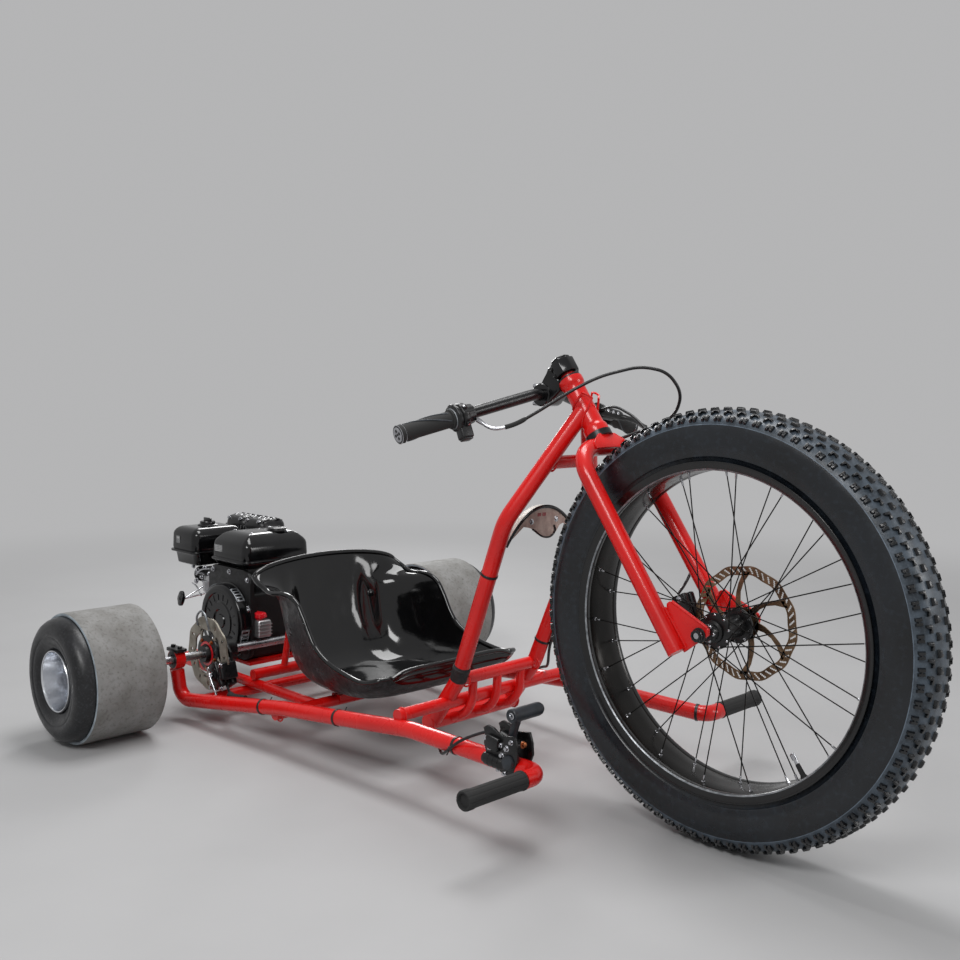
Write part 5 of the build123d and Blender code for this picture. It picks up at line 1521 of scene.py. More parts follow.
@dataclass
class Drive:
    """The roller chain round the clutch and the axle's sprocket."""

    pitch: float = 0.0127
    plate: float = 0.0011
    small_teeth: int = 12
    big_teeth: int = 30

    def __post_init__(self) -> None:
        """Works out the two wheels' middles and the chain's run."""
        self.small = Box.of("clutch").middle
        self.big = Box.of("rear_sprocket").middle
        chain = Box.of("chain")
        self.y, self.half = chain.middle.y, chain.size.y / 2
        self.small_r = self.pitch / 2 / math.sin(math.pi / self.small_teeth)
        self.big_r = chain.high.x - self.big.x - 0.006

    def _loop(self) -> list[Vector]:
        """Evenly spaced points of the closed chain, one at each roller."""
        gap = Vector((self.big.x - self.small.x, 0, self.big.z - self.small.z))
        lean = math.atan2(gap.z, gap.x)
        open_angle = math.acos((self.small_r - self.big_r) / gap.length)
        line: list[Vector] = []
        for middle, radius, start, end in (
                (self.small, self.small_r, lean + open_angle, lean + math.tau - open_angle),
                (self.big, self.big_r, lean - open_angle, lean + open_angle)):
            for k in range(97):
                angle = start + (end - start) * k / 96
                line.append(Vector((middle.x + radius * math.cos(angle), self.y,
                                    middle.z + radius * math.sin(angle))))
        line.append(line[0])
        lengths = [(b - a).length for a, b in zip(line, line[1:])]
        count = round(sum(lengths) / self.pitch / 2) * 2
        step, made, walked, k = sum(lengths) / count, [], 0.0, 0
        for number in range(count):
            target = number * step
            while walked + lengths[k] < target:
                walked += lengths[k]
                k += 1
            made.append(line[k].lerp(line[k + 1], (target - walked) / max(lengths[k], 1e-9)))
        return made

    def chain(self) -> None:
        """Makes the rollers and side plates."""
        piece = Piece("roller_chain")
        points = self._loop()
        for k, here in enumerate(points):
            ahead = points[(k + 1) % len(points)]
            half = self.half if k % 2 else self.half - 0.0014
            length = (ahead - here).length
            outline = [polar(0.0056, math.radians(90 + 180 * j / 7)) for j in range(8)]
            outline += [(length / 2, -0.0036)]
            outline += [(length - x, -y) for x, y in outline[:8]]
            outline += [(length / 2, 0.0036)]
            for near in (-half, half - self.plate):
                at = place(here + Vector((0, near, 0)), (0, 1, 0), ahead - here)
                piece.prism(outline, self.plate, at, CHAIN)
            piece.lathe([(0.0038, -half + 0.001), (0.0038, half - 0.001)], place(here, (0, 1, 0)), CHAIN, 10)
            pin = self.half - 0.0002
            piece.lathe([(0.0016, -pin), (0.0016, pin)], place(here, (0, 1, 0)), STEEL, 8)
        piece.done(Body.FRAME, "chain", slot="steel")

    def sprocket(self) -> None:
        """Makes the axle's sprocket with holes and its bolted hub."""
        piece = Piece("axle_sprocket")
        node = Box.of("rear_sprocket")
        tip = node.size.x / 2
        outline = []
        for k in range(self.big_teeth):
            for share, radius in ((0.0, tip - 0.0042), (0.22, tip - 0.0034), (0.4, tip), (0.6, tip),
                                  (0.78, tip - 0.0034)):
                outline.append(polar(radius, math.tau * (k + share) / self.big_teeth))
        at = place((node.middle.x, node.low.y, node.middle.z), (0, 1, 0))
        piece.prism(outline, 0.004, at, STEEL)
        for x, y in polygon(6, 0.04, 0.2):
            piece.lathe([(0.0062, -0.0002), (0.0062, 0.0042)], shifted(at, x, y), BLACK, 20)
        piece.lathe([(0.0102, 0.0), (0.027, 0.0), (0.027, 0.01), (0.019, 0.012), (0.019, node.size.y),
                     (0.0102, node.size.y)], at, BLACK, 40, closed=True)
        for x, y in polygon(4, 0.0225, 0.5):
            piece.bolt(shifted(at, x, y, 0.01), 0.006, 0.004, CHROME)
        piece.done(Body.REAR_AXLE, "rear_sprocket", slot="steel")

    def clutch(self) -> None:
        """Makes the clutch's vented bell and its small sprocket."""
        piece = Piece("clutch_bell")
        node = Box.of("clutch")
        at = place((node.middle.x, node.low.y, node.middle.z), (0, 1, 0))
        deep, wide = node.size.y, node.size.x / 2
        piece.lathe([(0.012, 0.0), (0.0175, 0.0), (0.0175, 0.026), (0.012, 0.026)], at, STEEL, 36)
        piece.lathe([(0.0175, deep * 0.3), (0.016, deep - 0.0145), (wide, deep - 0.0145),
                     (wide, deep - 0.002),
                     (wide - 0.002, deep), (wide - 0.008, deep), (wide - 0.01, deep - 0.002),
                     (0.014, deep - 0.002), (0.012, deep - 0.0005), (0.001, deep - 0.0005)], at, BLACK, 56)
        for x, y in polygon(6, wide * 0.62, 0.3):
            piece.lathe([(0.0045, deep - 0.003), (0.0045, deep - 0.0012), (0.001, deep - 0.0012)],
                        shifted(at, x, y), STEEL, 16)
        piece.done(Body.FRAME, "clutch", slot="black_metal")

    def make(self) -> None:
        """Makes the chain, the sprocket and the clutch."""
        self.chain()
        self.sprocket()
        self.clutch()


@dataclass
class RearBrake:
    """The axle's drilled disc with its hub, the caliper with its arm, and the bright guard loop."""

    hose: bpy.types.Object
    band: float = 0.03
    boot_start: float = -0.5
    boot_length: float = 0.068

    def disc(self) -> None:
        """Makes the disc and its bolted hub."""
        node = Box.of("rear_disc")
        at = place((node.middle.x, node.low.y, node.middle.z), (0, 1, 0))
        disc = Rotor("rear_disc_drilled", at, node.size.x / 2, self.band, 0.03, 0.004, 5, DISC, waves=9,
                     swing=0.002, every=24, gap=4, reach=(2, 3))
        disc.make(Body.REAR_AXLE, "rear_disc")
        hub = Piece("rear_disc_hub")
        deep = node.size.y
        hub.lathe([(0.0104, 0.0008), (0.034, 0.0008), (0.036, 0.004), (0.036, 0.009), (0.03, 0.011),
                   (0.022, 0.014), (0.021, deep), (0.0104, deep)], at, BLACK, 48, closed=True)
        hub.lathe([(0.0105, -0.014), (0.019, -0.014), (0.02, -0.012), (0.0215, -0.003),
                   (0.042, -0.0012), (0.043, 0.0014), (0.0105, 0.0014)], at, BLACK, 48, closed=True)
        hub.lathe([(0.023, -0.0036), (0.0285, -0.0036), (0.029, -0.001), (0.0225, -0.001)], at, CAP_RED,
                  48, closed=True)
        for x, y in polygon(5, 0.0345, 0.3):
            hub.bolt(place(at @ Vector((x, y, -0.0012)), (0, -1, 0)), 0.007, 0.0045, COPPER)
        hub.done(Body.REAR_AXLE)

    def caliper(self) -> None:
        """Makes the caliper's body, its lever, boot, bracket and guard loop."""
        piece = Piece("rear_caliper_body")
        node = Box.of("rear_caliper")
        middle, size = node.middle, node.size
        body = place(middle, (0, 1, 0), (1, 0, 0.35))
        gap = 0.0075
        for y, width in ((node.low.y + (size.y / 2 - gap) / 2, size.y / 2 - gap),
                         (node.high.y - (size.y / 2 - gap) / 2, size.y / 2 - gap)):
            at = place((middle.x, y, middle.z), (0, 1, 0), (0.62, 0, -1))
            piece.block((size.z * 0.72, size.x * 0.46, width), at, BLACK, 0.005, 3)
        bridge = shifted(body, x=0.024, y=-0.006)
        piece.block((0.018, 0.04, size.y - 0.002), bridge, BLACK, 0.004, 3)
        axle = Box.of("axle_shaft").middle
        stay = [(-0.03, 0.022), (-0.024, 0.034), (0.0, 0.038), (0.03, 0.03), (0.052, 0.006),
                (0.062, -0.03), (0.05, -0.052), (0.018, -0.05), (-0.012, -0.03), (-0.03, -0.004)]
        inner = place((axle.x, node.high.y + 0.004, axle.z), (0, -1, 0), (1, 0, 0))
        piece.prism(stay, 0.006, shifted(inner, z=-0.006), BLACK, 0.0015, 2)
        piece.lathe([(0.012, -0.036), (0.03, -0.036), (0.032, -0.034), (0.032, -0.01), (0.025, -0.007),
                     (0.024, 0.002), (0.012, 0.002)], inner, BLACK, 44, closed=True)
        for x, y in ((-0.02, 0.026), (0.024, 0.026), (0.046, -0.01)):
            piece.bolt(shifted(inner, x, y), 0.0085, 0.005, CHROME)
        face = node.low.y
        at = place((middle.x - 0.004, face + 0.002, middle.z + 0.004), (0, -1, 0))
        piece.lathe([(0.017, 0.0), (0.017, 0.004), (0.014, 0.0055), (0.0085, 0.0058), (0.008, 0.01),
                     (0.001, 0.0105)], at, BLACK, 32)
        piece.bolt(shifted(at, z=0.0095), 0.01, 0.004, CHROME)
        for x, z in ((0.024, 0.03), (0.026, -0.024), (-0.026, 0.012), (-0.018, -0.03)):
            piece.bolt(place((middle.x + x, face + 0.004, middle.z + z), (0, -1, 0)), 0.0085, 0.005, CHROME)
        arm = [at.translation + Vector((0, -0.012, 0)), at.translation + Vector((0.02, -0.014, -0.022)),
               at.translation + Vector((0.033, -0.012, -0.048))]
        piece.tube(arm, [0.0042, 0.0036, 0.003], CHROME, 12)
        end = place(arm[-1], (0.2, -1, 0))
        piece.lathe([(0.0058, -0.004), (0.0058, 0.004)], end, CHROME, 16)
        hose = BarLine(self.hose, 0)
        start = hose.middle(self.boot_start)
        boot = [hose.middle(self.boot_start + self.boot_length * k / 24) for k in range(25)]
        sizes = [0.0074 - 0.0022 * k / 24 + 0.0012 * math.cos(k * 1.6) for k in range(25)]
        piece.tube(boot, sizes, RUBBER, 14)
        piece.tube(smooth_line([arm[-1], arm[-1].lerp(start, 0.5) + Vector((0, -0.002, -0.006)), start]),
                   0.0022, CHROME, 8)
        piece.done(Body.FRAME, "rear_caliper", slot="black_metal")
        loop = Piece("brake_guard_loop")
        disc = Box.of("rear_disc")
        top = Vector((disc.middle.x - 0.01, disc.low.y - 0.01, disc.high.z - 0.014))
        arch = [top + Vector((-0.022, 0.004, -0.01)), top + Vector((-0.02, 0, 0.008)),
                top + Vector((-0.01, 0, 0.022)), top + Vector((0.004, 0, 0.027)),
                top + Vector((0.018, 0, 0.02)), top + Vector((0.027, 0, 0.004)),
                top + Vector((0.029, 0.004, -0.014))]
        loop.tube(smooth_line(arch, 8), 0.0026, EDGE, 12)
        loop.done(Body.FRAME)

    def make(self) -> None:
        """Makes the disc, caliper and loop."""
        self.disc()
        self.caliper()


# --- controls


@dataclass
class Cockpit:
    """Stem, grips, twist throttle and brake lever, with their small parts."""

    bar: bpy.types.Object
    throttle: bpy.types.Object
    foot: Vector
    tilt: Vector
    grip_radius: float = 0.016
    grip_length: float = 0.1155
    grip_cap: float = 0.0005
    strands: int = 4
    rib_turn: float = 1.9
    cap_drop: float = 0.0106

    def __post_init__(self) -> None:
        """Reads the bar's line."""
        self.line = BarLine(self.bar, 1)

    def _along(self, y: float, toward: int) -> Matrix:
        """A place on the bar with its Z toward that side's end."""
        here = self.line.middle(y)
        return place(here, self.line.middle(y + toward * 0.006) - here, (1, 0, 0))

    def stem(self) -> None:
        """Makes the faceted cap, the body and the split bar clamp with its bolts."""
        piece = Piece("stem_and_clamp")
        node = Box.of("stem")
        up = self.tilt
        ahead = Vector((up.z, 0, -up.x))
        top = self.foot + up * ((node.high.z - self.cap_drop - self.foot.z) / up.z)
        cap = place(top - up * 0.036, up, ahead)
        facets = polygon(8, 0.0252, math.radians(22.5))
        piece.prism(facets, 0.03, cap, GLOSS, 0.0022, 2)
        piece.prism([(x * 0.8, y * 0.8) for x, y in facets], 0.0085, shifted(cap, z=0.0285), GLOSS,
                    0.0028, 3)
        piece.lathe([(0.0075, 0.0), (0.0075, 0.002), (0.006, 0.003), (0.001, 0.003)],
                    shifted(cap, z=0.0362), BLACK, 24)
        clamp = self.line.middle(0.0)
        across = place((0, 0, 0), (0, 1, 0), (1, 0, 0))
        low = top - up * 0.04
        outline = [top - up * 0.006 - ahead * 0.012, low - ahead * 0.01,
                   low - ahead * 0.02 - up * 0.018, clamp + Vector((0.012, 0, -0.021)),
                   clamp + Vector((-0.004, 0, -0.022)), clamp + Vector((-0.006, 0, 0.021)),
                   clamp + Vector((0.008, 0, 0.025)), top - up * 0.004 - ahead * 0.022]
        flat = [(p.x, -p.z) for p in outline]
        piece.prism(flat, 0.04, shifted(across, z=-0.02), GLOSS, 0.0045, 3)
        piece.lathe([(0.0115, -0.0235), (0.0205, -0.0235), (0.0222, -0.0215), (0.0222, 0.0215),
                     (0.0205, 0.0235), (0.0115, 0.0235)], place(clamp, (0, 1, 0)), GLOSS, 40, closed=True)
        for y in (-0.0155, 0.0155):
            for height in (-0.017, 0.017):
                at = place(clamp + Vector((-0.0185, y, height)), (-1, 0, 0.1))
                piece.lathe([(0.0042, -0.004), (0.0042, 0.0042), (0.003, 0.005), (0.0022, 0.003),
                             (0.0005, 0.003)], at, CHROME, 16)
        for height in (0.012, 0.027):
            for side in (-1, 1):
                at = place(cap @ Vector((-0.012, side * 0.0222, height - 0.006)), (0, side, 0))
                piece.lathe([(0.0036, -0.002), (0.0036, 0.0022), (0.0022, 0.0028), (0.0005, 0.0014)], at,
                            BLACK, 16)
        piece.done(Body.STEERING, "stem", slot="black_metal")

    def grips(self) -> None:
        """Makes both grips: ribbed rubber, inner collar and a bright drilled end ring."""
        piece = Piece("ribbed_grips")
        node = Box.of("grips")
        r = self.grip_radius
        for toward, end in ((-1, node.low.y), (1, node.high.y)):
            length = self.grip_length
            start = end - toward * (length + self.grip_cap)
            tip = self._along(end - toward * 0.014, toward)
            at = place(self.line.middle(start), tip.translation - self.line.middle(start), (1, 0, 0))
            profile = [(0.0112, 0.001), (r + 0.0012, 0.0), (r + 0.0022, 0.0012), (r + 0.0022, 0.0045),
                       (r - 0.0006, 0.0062)]
            profile += [(r - 0.0008, length * share) for share in (0.1, 0.3, 0.5, 0.7, 0.9)]
            profile += [(r - 0.0004, length - 0.01), (r + 0.0008, length - 0.0085),
                        (r + 0.001, length - 0.0012), (r, length), (0.004, length)]
            piece.lathe(profile, at, RUBBER, 56)
            for strand in range(self.strands):
                points = []
                for share in (k / 14 for k in range(15)):
                    out = r - 0.001 + 0.0006 * math.sin(math.pi * share)
                    spot = polar(out, math.tau * strand / 6 + share * self.rib_turn)
                    points.append(at @ Vector((*spot, 0.01 + share * (length - 0.024))))
                piece.tube(points, 0.0016, GRIP_RIB, 6)
            for height in (length - 0.0087, length - 0.0006):
                piece.lathe([(r + 0.0004, height - 0.0006), (r + 0.0014, height),
                             (r + 0.0004, height + 0.0006), (r - 0.001, height)], at, CHROME, 56, closed=True)
            cap = shifted(at, z=length)
            piece.lathe([(r - 0.002, -0.001), (r - 0.0022, 0.0006), (r - 0.006, 0.0009), (0.001, 0.0009)],
                        cap, CHROME, 40)
            for x, y in polygon(4, 0.007, 0.4):
                piece.lathe([(0.0028, 0.0), (0.0028, 0.0014), (0.0005, 0.0014)], shifted(cap, x, y),
                            BLACK, 16)
            piece.lathe([(0.0022, 0.0), (0.0022, 0.0013), (0.0005, 0.0013)], cap, BLACK, 12)
        piece.done(Body.STEERING, "grips", slot="grip_rubber")

    def twist(self) -> None:
        """Makes the twist throttle: toothed flange, body, foot, screws and its bright elbow."""
        piece = Piece("twist_throttle")
        node = Box.of("throttle_housing")
        at = self._along(node.low.y + 0.0015, 1)
        depth = node.size.y - 0.002
        profile = [(0.0118, 0.0), (0.0205, 0.0), (0.0215, 0.001), (0.0245, 0.0022), (0.0255, 0.0036),
                   (0.0255, 0.0072), (0.024, 0.009), (0.0212, 0.01), (0.0205, 0.0125),
                   (0.0232, 0.014), (0.024, 0.0155), (0.024, 0.024), (0.0228, 0.0262),
                   (0.02, 0.0275), (0.0192, 0.033), (0.0176, depth), (0.0118, depth)]
        piece.lathe(profile, at, MATT, 72, closed=True,
                    wave=lambda angle: 1.0 + 0.02 * math.tanh(3 * math.sin(12 * angle)))
        down = at.inverted().to_3x3() @ Vector((0.42, 0, -1)).normalized()
        turn = place(at @ (down * 0.0285 + Vector((0, 0, 0.0185))), at.to_3x3() @ down,
                     at.to_3x3() @ Vector((0, 0, 1)))
        piece.block((0.0245, 0.0225, 0.03), turn, MATT, 0.0035, 3)
        piece.block((0.02, 0.018, 0.006), shifted(turn, z=0.015), MATT, 0.002)
        for k, angle in enumerate((0.5, 2.2, 3.9, 5.4)):
            spot = turned(at, angle)
            piece.block((0.006, 0.0085, 0.009), shifted(spot, x=0.0238, z=0.019 + 0.001 * (k % 2)), MATT,
                        0.0014)
            head = place(spot @ Vector((0.0262, 0, 0.019)), (spot.to_3x3() @ Vector((1, 0, 0))))
            piece.lathe([(0.002, -0.001), (0.002, 0.001), (0.0004, 0.0012)], head, CHROME, 12)
        piece.lathe([(0.0184, -0.0016), (0.0196, -0.0004), (0.0184, 0.0008), (0.0165, -0.0004)], at, EDGE, 56,
                    closed=True)
        cable = BarLine(self.throttle, 1, -1)
        low = max(Box.of("throttle_cable").low.y + 0.002, node.high.y - 0.004)
        points = [cable.middle(low + 0.034 * k / 10) for k in range(11)]
        piece.tube(points, [0.0046] * 2 + [0.0034] * 9, CHROME, 14)
        sleeve = [cable.middle(low + 0.03 + 0.03 * k / 8) for k in range(9)]
        piece.tube(sleeve, [0.0044] * 8 + [0.0036], RUBBER, 14)
        piece.done(Body.STEERING, "throttle_housing", slot="black_plastic")

    def lever(self) -> None:
        """Makes the brake lever: master cylinder, clamp, cap screws and the finger blade."""
        piece = Piece("brake_master_and_lever")
        node = Box.of("brake_lever")
        at = self._along(node.low.y + 0.01, 1)
        piece.lathe([(0.0118, -0.008), (0.017, -0.008), (0.018, -0.007), (0.018, 0.007), (0.017, 0.008),
                     (0.0118, 0.008)], at, BLACK, 36, closed=True)
        body_start = node.at(0.66, 0.02, 0.78)
        body_end = node.at(0.8, 0.4, 0.6)
        along = body_end - body_start
        body = place(body_start, along, (1, 0, 0.4))
        piece.lathe([(0.006, -0.004), (0.0095, -0.002), (0.0105, 0.004), (0.0105, along.length * 0.8),
                     (0.0085, along.length * 0.95), (0.006, along.length)], body, BLACK, 28)
        piece.block((0.016, 0.022, 0.034), shifted(body, x=-0.006, z=0.02), BLACK, 0.0035, 3)
        for height in (0.006, 0.02, 0.034):
            head = place(body @ Vector((0.01, 0.002, height)), body.to_3x3() @ Vector((1, 0.2, 0)))
            piece.lathe([(0.0034, -0.001), (0.0034, 0.0016), (0.0005, 0.0018)], head, CHROME, 14)
        blade = smooth_line([body_end + Vector((-0.004, -0.022, 0.0)), node.at(0.93, 0.45, 0.55),
                             node.at(0.92, 0.7, 0.42), node.at(0.8, 0.9, 0.3), node.at(0.84, 0.985, 0.22)])
        piece.tube(blade, [0.0062] * 6 + [0.0052] * (len(blade) - 8) + [0.0056] * 2, BLACK, 12)
        piece.dome(0.0042, 0.002, place(blade[3], (0, 0, 1)), CHROME)
        piece.dome(0.0036, 0.002, place(blade[9], (0.3, 0, 1)), CHROME)
        piece.done(Body.STEERING, "brake_lever", slot="black_metal")

    def make(self) -> None:
        """Makes every control on the bar."""
        self.stem()
        self.grips()
        self.twist()
        self.lever()


# --- frame and fork details


@dataclass
class HeadAndFork:
    """The flared head tube, weld beads, the crown's plate, dropouts, axle bolts and caliper."""

    nodes: dict[str, bpy.types.Object]
    foot: Vector
    tilt: Vector
    axle: Vector
    head_radius: float = 0.0235
    weld_level: float = 0.482
    weld_reach: float = 0.0208
    crown_level: float = 0.398

    def __post_init__(self) -> None:
        """Works out the direction straight ahead of the steering axis."""
        self.ahead = Vector((self.tilt.z, 0, -self.tilt.x))

    def _fork(self, up: float, ahead: float, y: float) -> Vector:
        """A point by its distance from the axle up and ahead of the fork."""
        return self.axle + self.tilt * up + self.ahead * ahead + Vector((0, y, 0))

    def head(self) -> None:
        """Makes the head tube with a rounded collar at each end."""
        piece = Piece("head_tube_flared")
        node = Box.of("head_tube")
        reach = self.head_radius * abs(self.tilt.x)
        low = (node.low.z - self.foot.z + reach) / self.tilt.z
        high = (node.high.z - self.foot.z - reach) / self.tilt.z
        at = place(self.foot + self.tilt * low, self.tilt, self.ahead)
        long = high - low
        half = [(0.0171, 0.0), (0.0225, 0.0), (0.0235, 0.001), (0.0237, 0.004), (0.0237, 0.0105),
                (0.0229, 0.014), (0.0213, 0.0165), (0.0202, 0.0195), (0.02, 0.024)]
        profile = half + [(r, long - h) for r, h in half[::-1]]
        piece.lathe(profile, at, RED, 72, closed=True)
        piece.done(Body.FRAME, "head_tube", slot="painted_red")

    def welds(self) -> None:
        """Adds the weld beads of the frame."""
        piece = Piece("frame_weld_beads")
        head = self.foot + self.tilt * self.weld_level
        for side in Side:
            tube = BarLine(self.nodes[f"down_tube_{side.word}"], 2)
            near = tube.middle(0.722)
            ahead = (near - tube.middle(0.712)).normalized()
            start = near - ahead * 0.004
            ring = []
            for k in range(31):
                angle = math.radians(-115 + 230 * k / 30)
                at = place(start - ahead * 0.02, ahead, (0, side.value, 0))
                ring.append(self._against_head(at @ Vector((*polar(0.0164, angle), 0)), ahead, head))
            piece.weld(ring, 0.0021, RED, closed=False)
        for node, end, radius in (("foot_guard", 0.101, 0.0126), ("down_tube_brace", 0.05, 0.0126),
                                  ("foot_cross_tube", 0.124, 0.0162), ("seat_cross_tube", 0.262, 0.0126),
                                  ("front_cross_tube", 0.238, 0.0126)):
            self._tube_weld(piece, node, end, radius)
        piece.done(Body.FRAME)

    def _against_head(self, spot: Vector, ahead: Vector, head: Vector) -> Vector:
        """Moves a point along a tube until it meets the head tube.

        Args:
            spot: The point.
            ahead: The tube's direction.
            head: A point on the steering axis.

        Returns:
            The point against the head tube.
        """
        for _ in range(90):
            out = spot - head
            if (out - self.tilt * out.dot(self.tilt)).length <= self.weld_reach:
                break
            spot = spot + ahead * 0.0008
        return spot

    def _tube_weld(self, piece: Piece, node: str, end: float, radius: float) -> None:
        """Adds a bead round a cross bar near each of its ends.

        Args:
            piece: The piece.
            node: The bar's node.
            end: How far the beads lie from the middle plane.
            radius: The bar's radius.
        """
        line = BarLine(self.nodes[node], 1)
        for spot in (-end, end):
            here = line.middle(spot)
            if node == "foot_guard":
                here.z = Box.of(node).high.z - radius
            at = place(here, (0, 1, 0), (1, 0, 0))
            points = [at @ Vector((*p, 0.0)) for p in polygon(36, radius + 0.0005)]
            piece.weld(points, 0.0019, RED)

    def crown(self) -> None:
        """Adds the crown's flat front plate and the legs' beads."""
        piece = Piece("crown_plate_and_beads")
        middle = self.foot + self.tilt * self.crown_level
        at = place(middle + self.ahead * 0.0125, self.ahead, (0, 1, 0))
        high = 0.021 if (at.to_3x3() @ Vector((0, 1, 0))).z > 0 else -0.021
        outline = [(-0.046, -high * 0.55), (0.046, -high * 0.55), (0.044, high * 0.1), (0.02, high * 0.92),
                   (-0.02, high * 0.92), (-0.044, high * 0.1)]
        piece.prism(outline, 0.0062, at, RED, 0.0012, 2)
        for k in (-1, 1):
            line = [at @ Vector((k * x, high * y, 0.0045))
                    for x, y in ((0.046, -0.45), (0.0445, 0.08), (0.022, 0.85))]
            piece.weld(smooth_line(line, 7), 0.0018, RED, closed=False)
        piece.weld(ring_points(middle + self.tilt * 0.0168, self.tilt, 0.017, 40), 0.002, RED)
        piece.done(Body.STEERING)

    def dropouts(self) -> None:
        """Makes the folded three-cornered dropouts with their rounded edges and beads."""
        piece = Piece("dropout_plates")
        node = Box.of("dropouts")
        for side in Side:
            y = node.high.y * side.value
            corners = [(0.074, -0.03), (0.0745, -0.024), (0.07, -0.018), (0.004, 0.0195), (0.0, 0.0215),
                       (-0.0085, 0.0155), (-0.0105, -0.03), (-0.0115, -0.044), (0.02, -0.044),
                       (0.066, -0.036)]
            at = place(self.axle + Vector((0, y, 0)), (0, side.value, 0), self.ahead)
            up = at.to_3x3().inverted() @ self.tilt
            flat = [(a, u * (1 if up.y > 0 else -1)) for u, a in corners]
            piece.prism(flat, 0.005, shifted(at, z=-0.0052), RED, 0.001, 2)
            edge = [self._fork(u, a, y - side.value * 0.0024) for u, a in
                    ((0.0715, -0.0195), (0.052, -0.0085), (0.03, 0.004), (0.0035, 0.019))]
            piece.tube(smooth_line(edge, 4), 0.003, RED, 10)
            seam = [self._fork(0.07 - 0.0084 * k, -0.0375 + 0.0003 * k, y - side.value * 0.001)
                    for k in range(10)]
            piece.weld(smooth_line(seam, 3), 0.0022, RED, closed=False)
        piece.done(Body.STEERING, "dropouts", slot="painted_red")

    def axle_bolts(self) -> None:
        """Makes the axle with a splined bolt and washer at each end."""
        piece = Piece("front_axle_bolts")
        node = Box.of("front_axle")
        at = place(self.axle, (0, 1, 0))
        piece.lathe([(0.005, node.low.y + 0.002), (0.005, node.high.y - 0.002)], at, STEEL, 20)
        for side in Side:
            end = place(self.axle + Vector((0, node.high.y * side.value, 0)), (0, side.value, 0))
            piece.lathe([(0.0128, -0.0112), (0.0128, -0.0094), (0.0118, -0.0088), (0.004, -0.0088)], end,
                        BLACK, 32)
            piece.lathe([(0.0102, -0.009), (0.0104, -0.002), (0.0096, -0.0006), (0.0062, 0.0),
                         (0.0052, -0.002), (0.0008, -0.0022)], end, GLOSS, 60,
                        wave=lambda angle: 1.0 + 0.045 * math.tanh(2.5 * math.sin(10 * angle)))
        piece.done(Body.STEERING, "front_axle", slot="black_metal")

    def caliper(self) -> None:
        """Makes the front caliper with its two halves, bolts and adjuster."""
        piece = Piece("front_caliper_body")
        node = Box.of("front_caliper")
        middle = node.middle
        along = (self.tilt * 0.9 + self.ahead * 0.2).normalized()
        for y, width in ((node.low.y + 0.0072, 0.0135), (node.high.y - 0.0072, 0.0135)):
            at = place((middle.x, y, middle.z), (0, 1, 0), along)
            piece.block((0.06, 0.03, width), at, BLACK, 0.0045, 3)
        bridge = place(middle - Vector((0.012, 0, -0.004)), (0, 1, 0), along)
        piece.block((0.04, 0.014, node.size.y - 0.004), bridge, BLACK, 0.003, 2)
        for share in (-0.021, 0.0, 0.021):
            spot = middle + along * share + Vector((0, -node.size.y / 2 + 0.001, 0))
            piece.bolt(place(spot, (0, -1, 0)), 0.0075, 0.0045, CHROME)
        piece.lathe([(0.011, 0.0), (0.011, 0.003), (0.008, 0.0045), (0.001, 0.0048)],
                    place(middle + Vector((0.008, node.size.y / 2 - 0.002, 0)), (0, 1, 0)), STEEL, 28)
        piece.done(Body.STEERING, "front_caliper", slot="black_metal")

    def make(self) -> None:
        """Makes the head's and fork's details."""
        self.head()
        self.welds()
        self.crown()
        self.dropouts()
        self.axle_bolts()
        self.caliper()


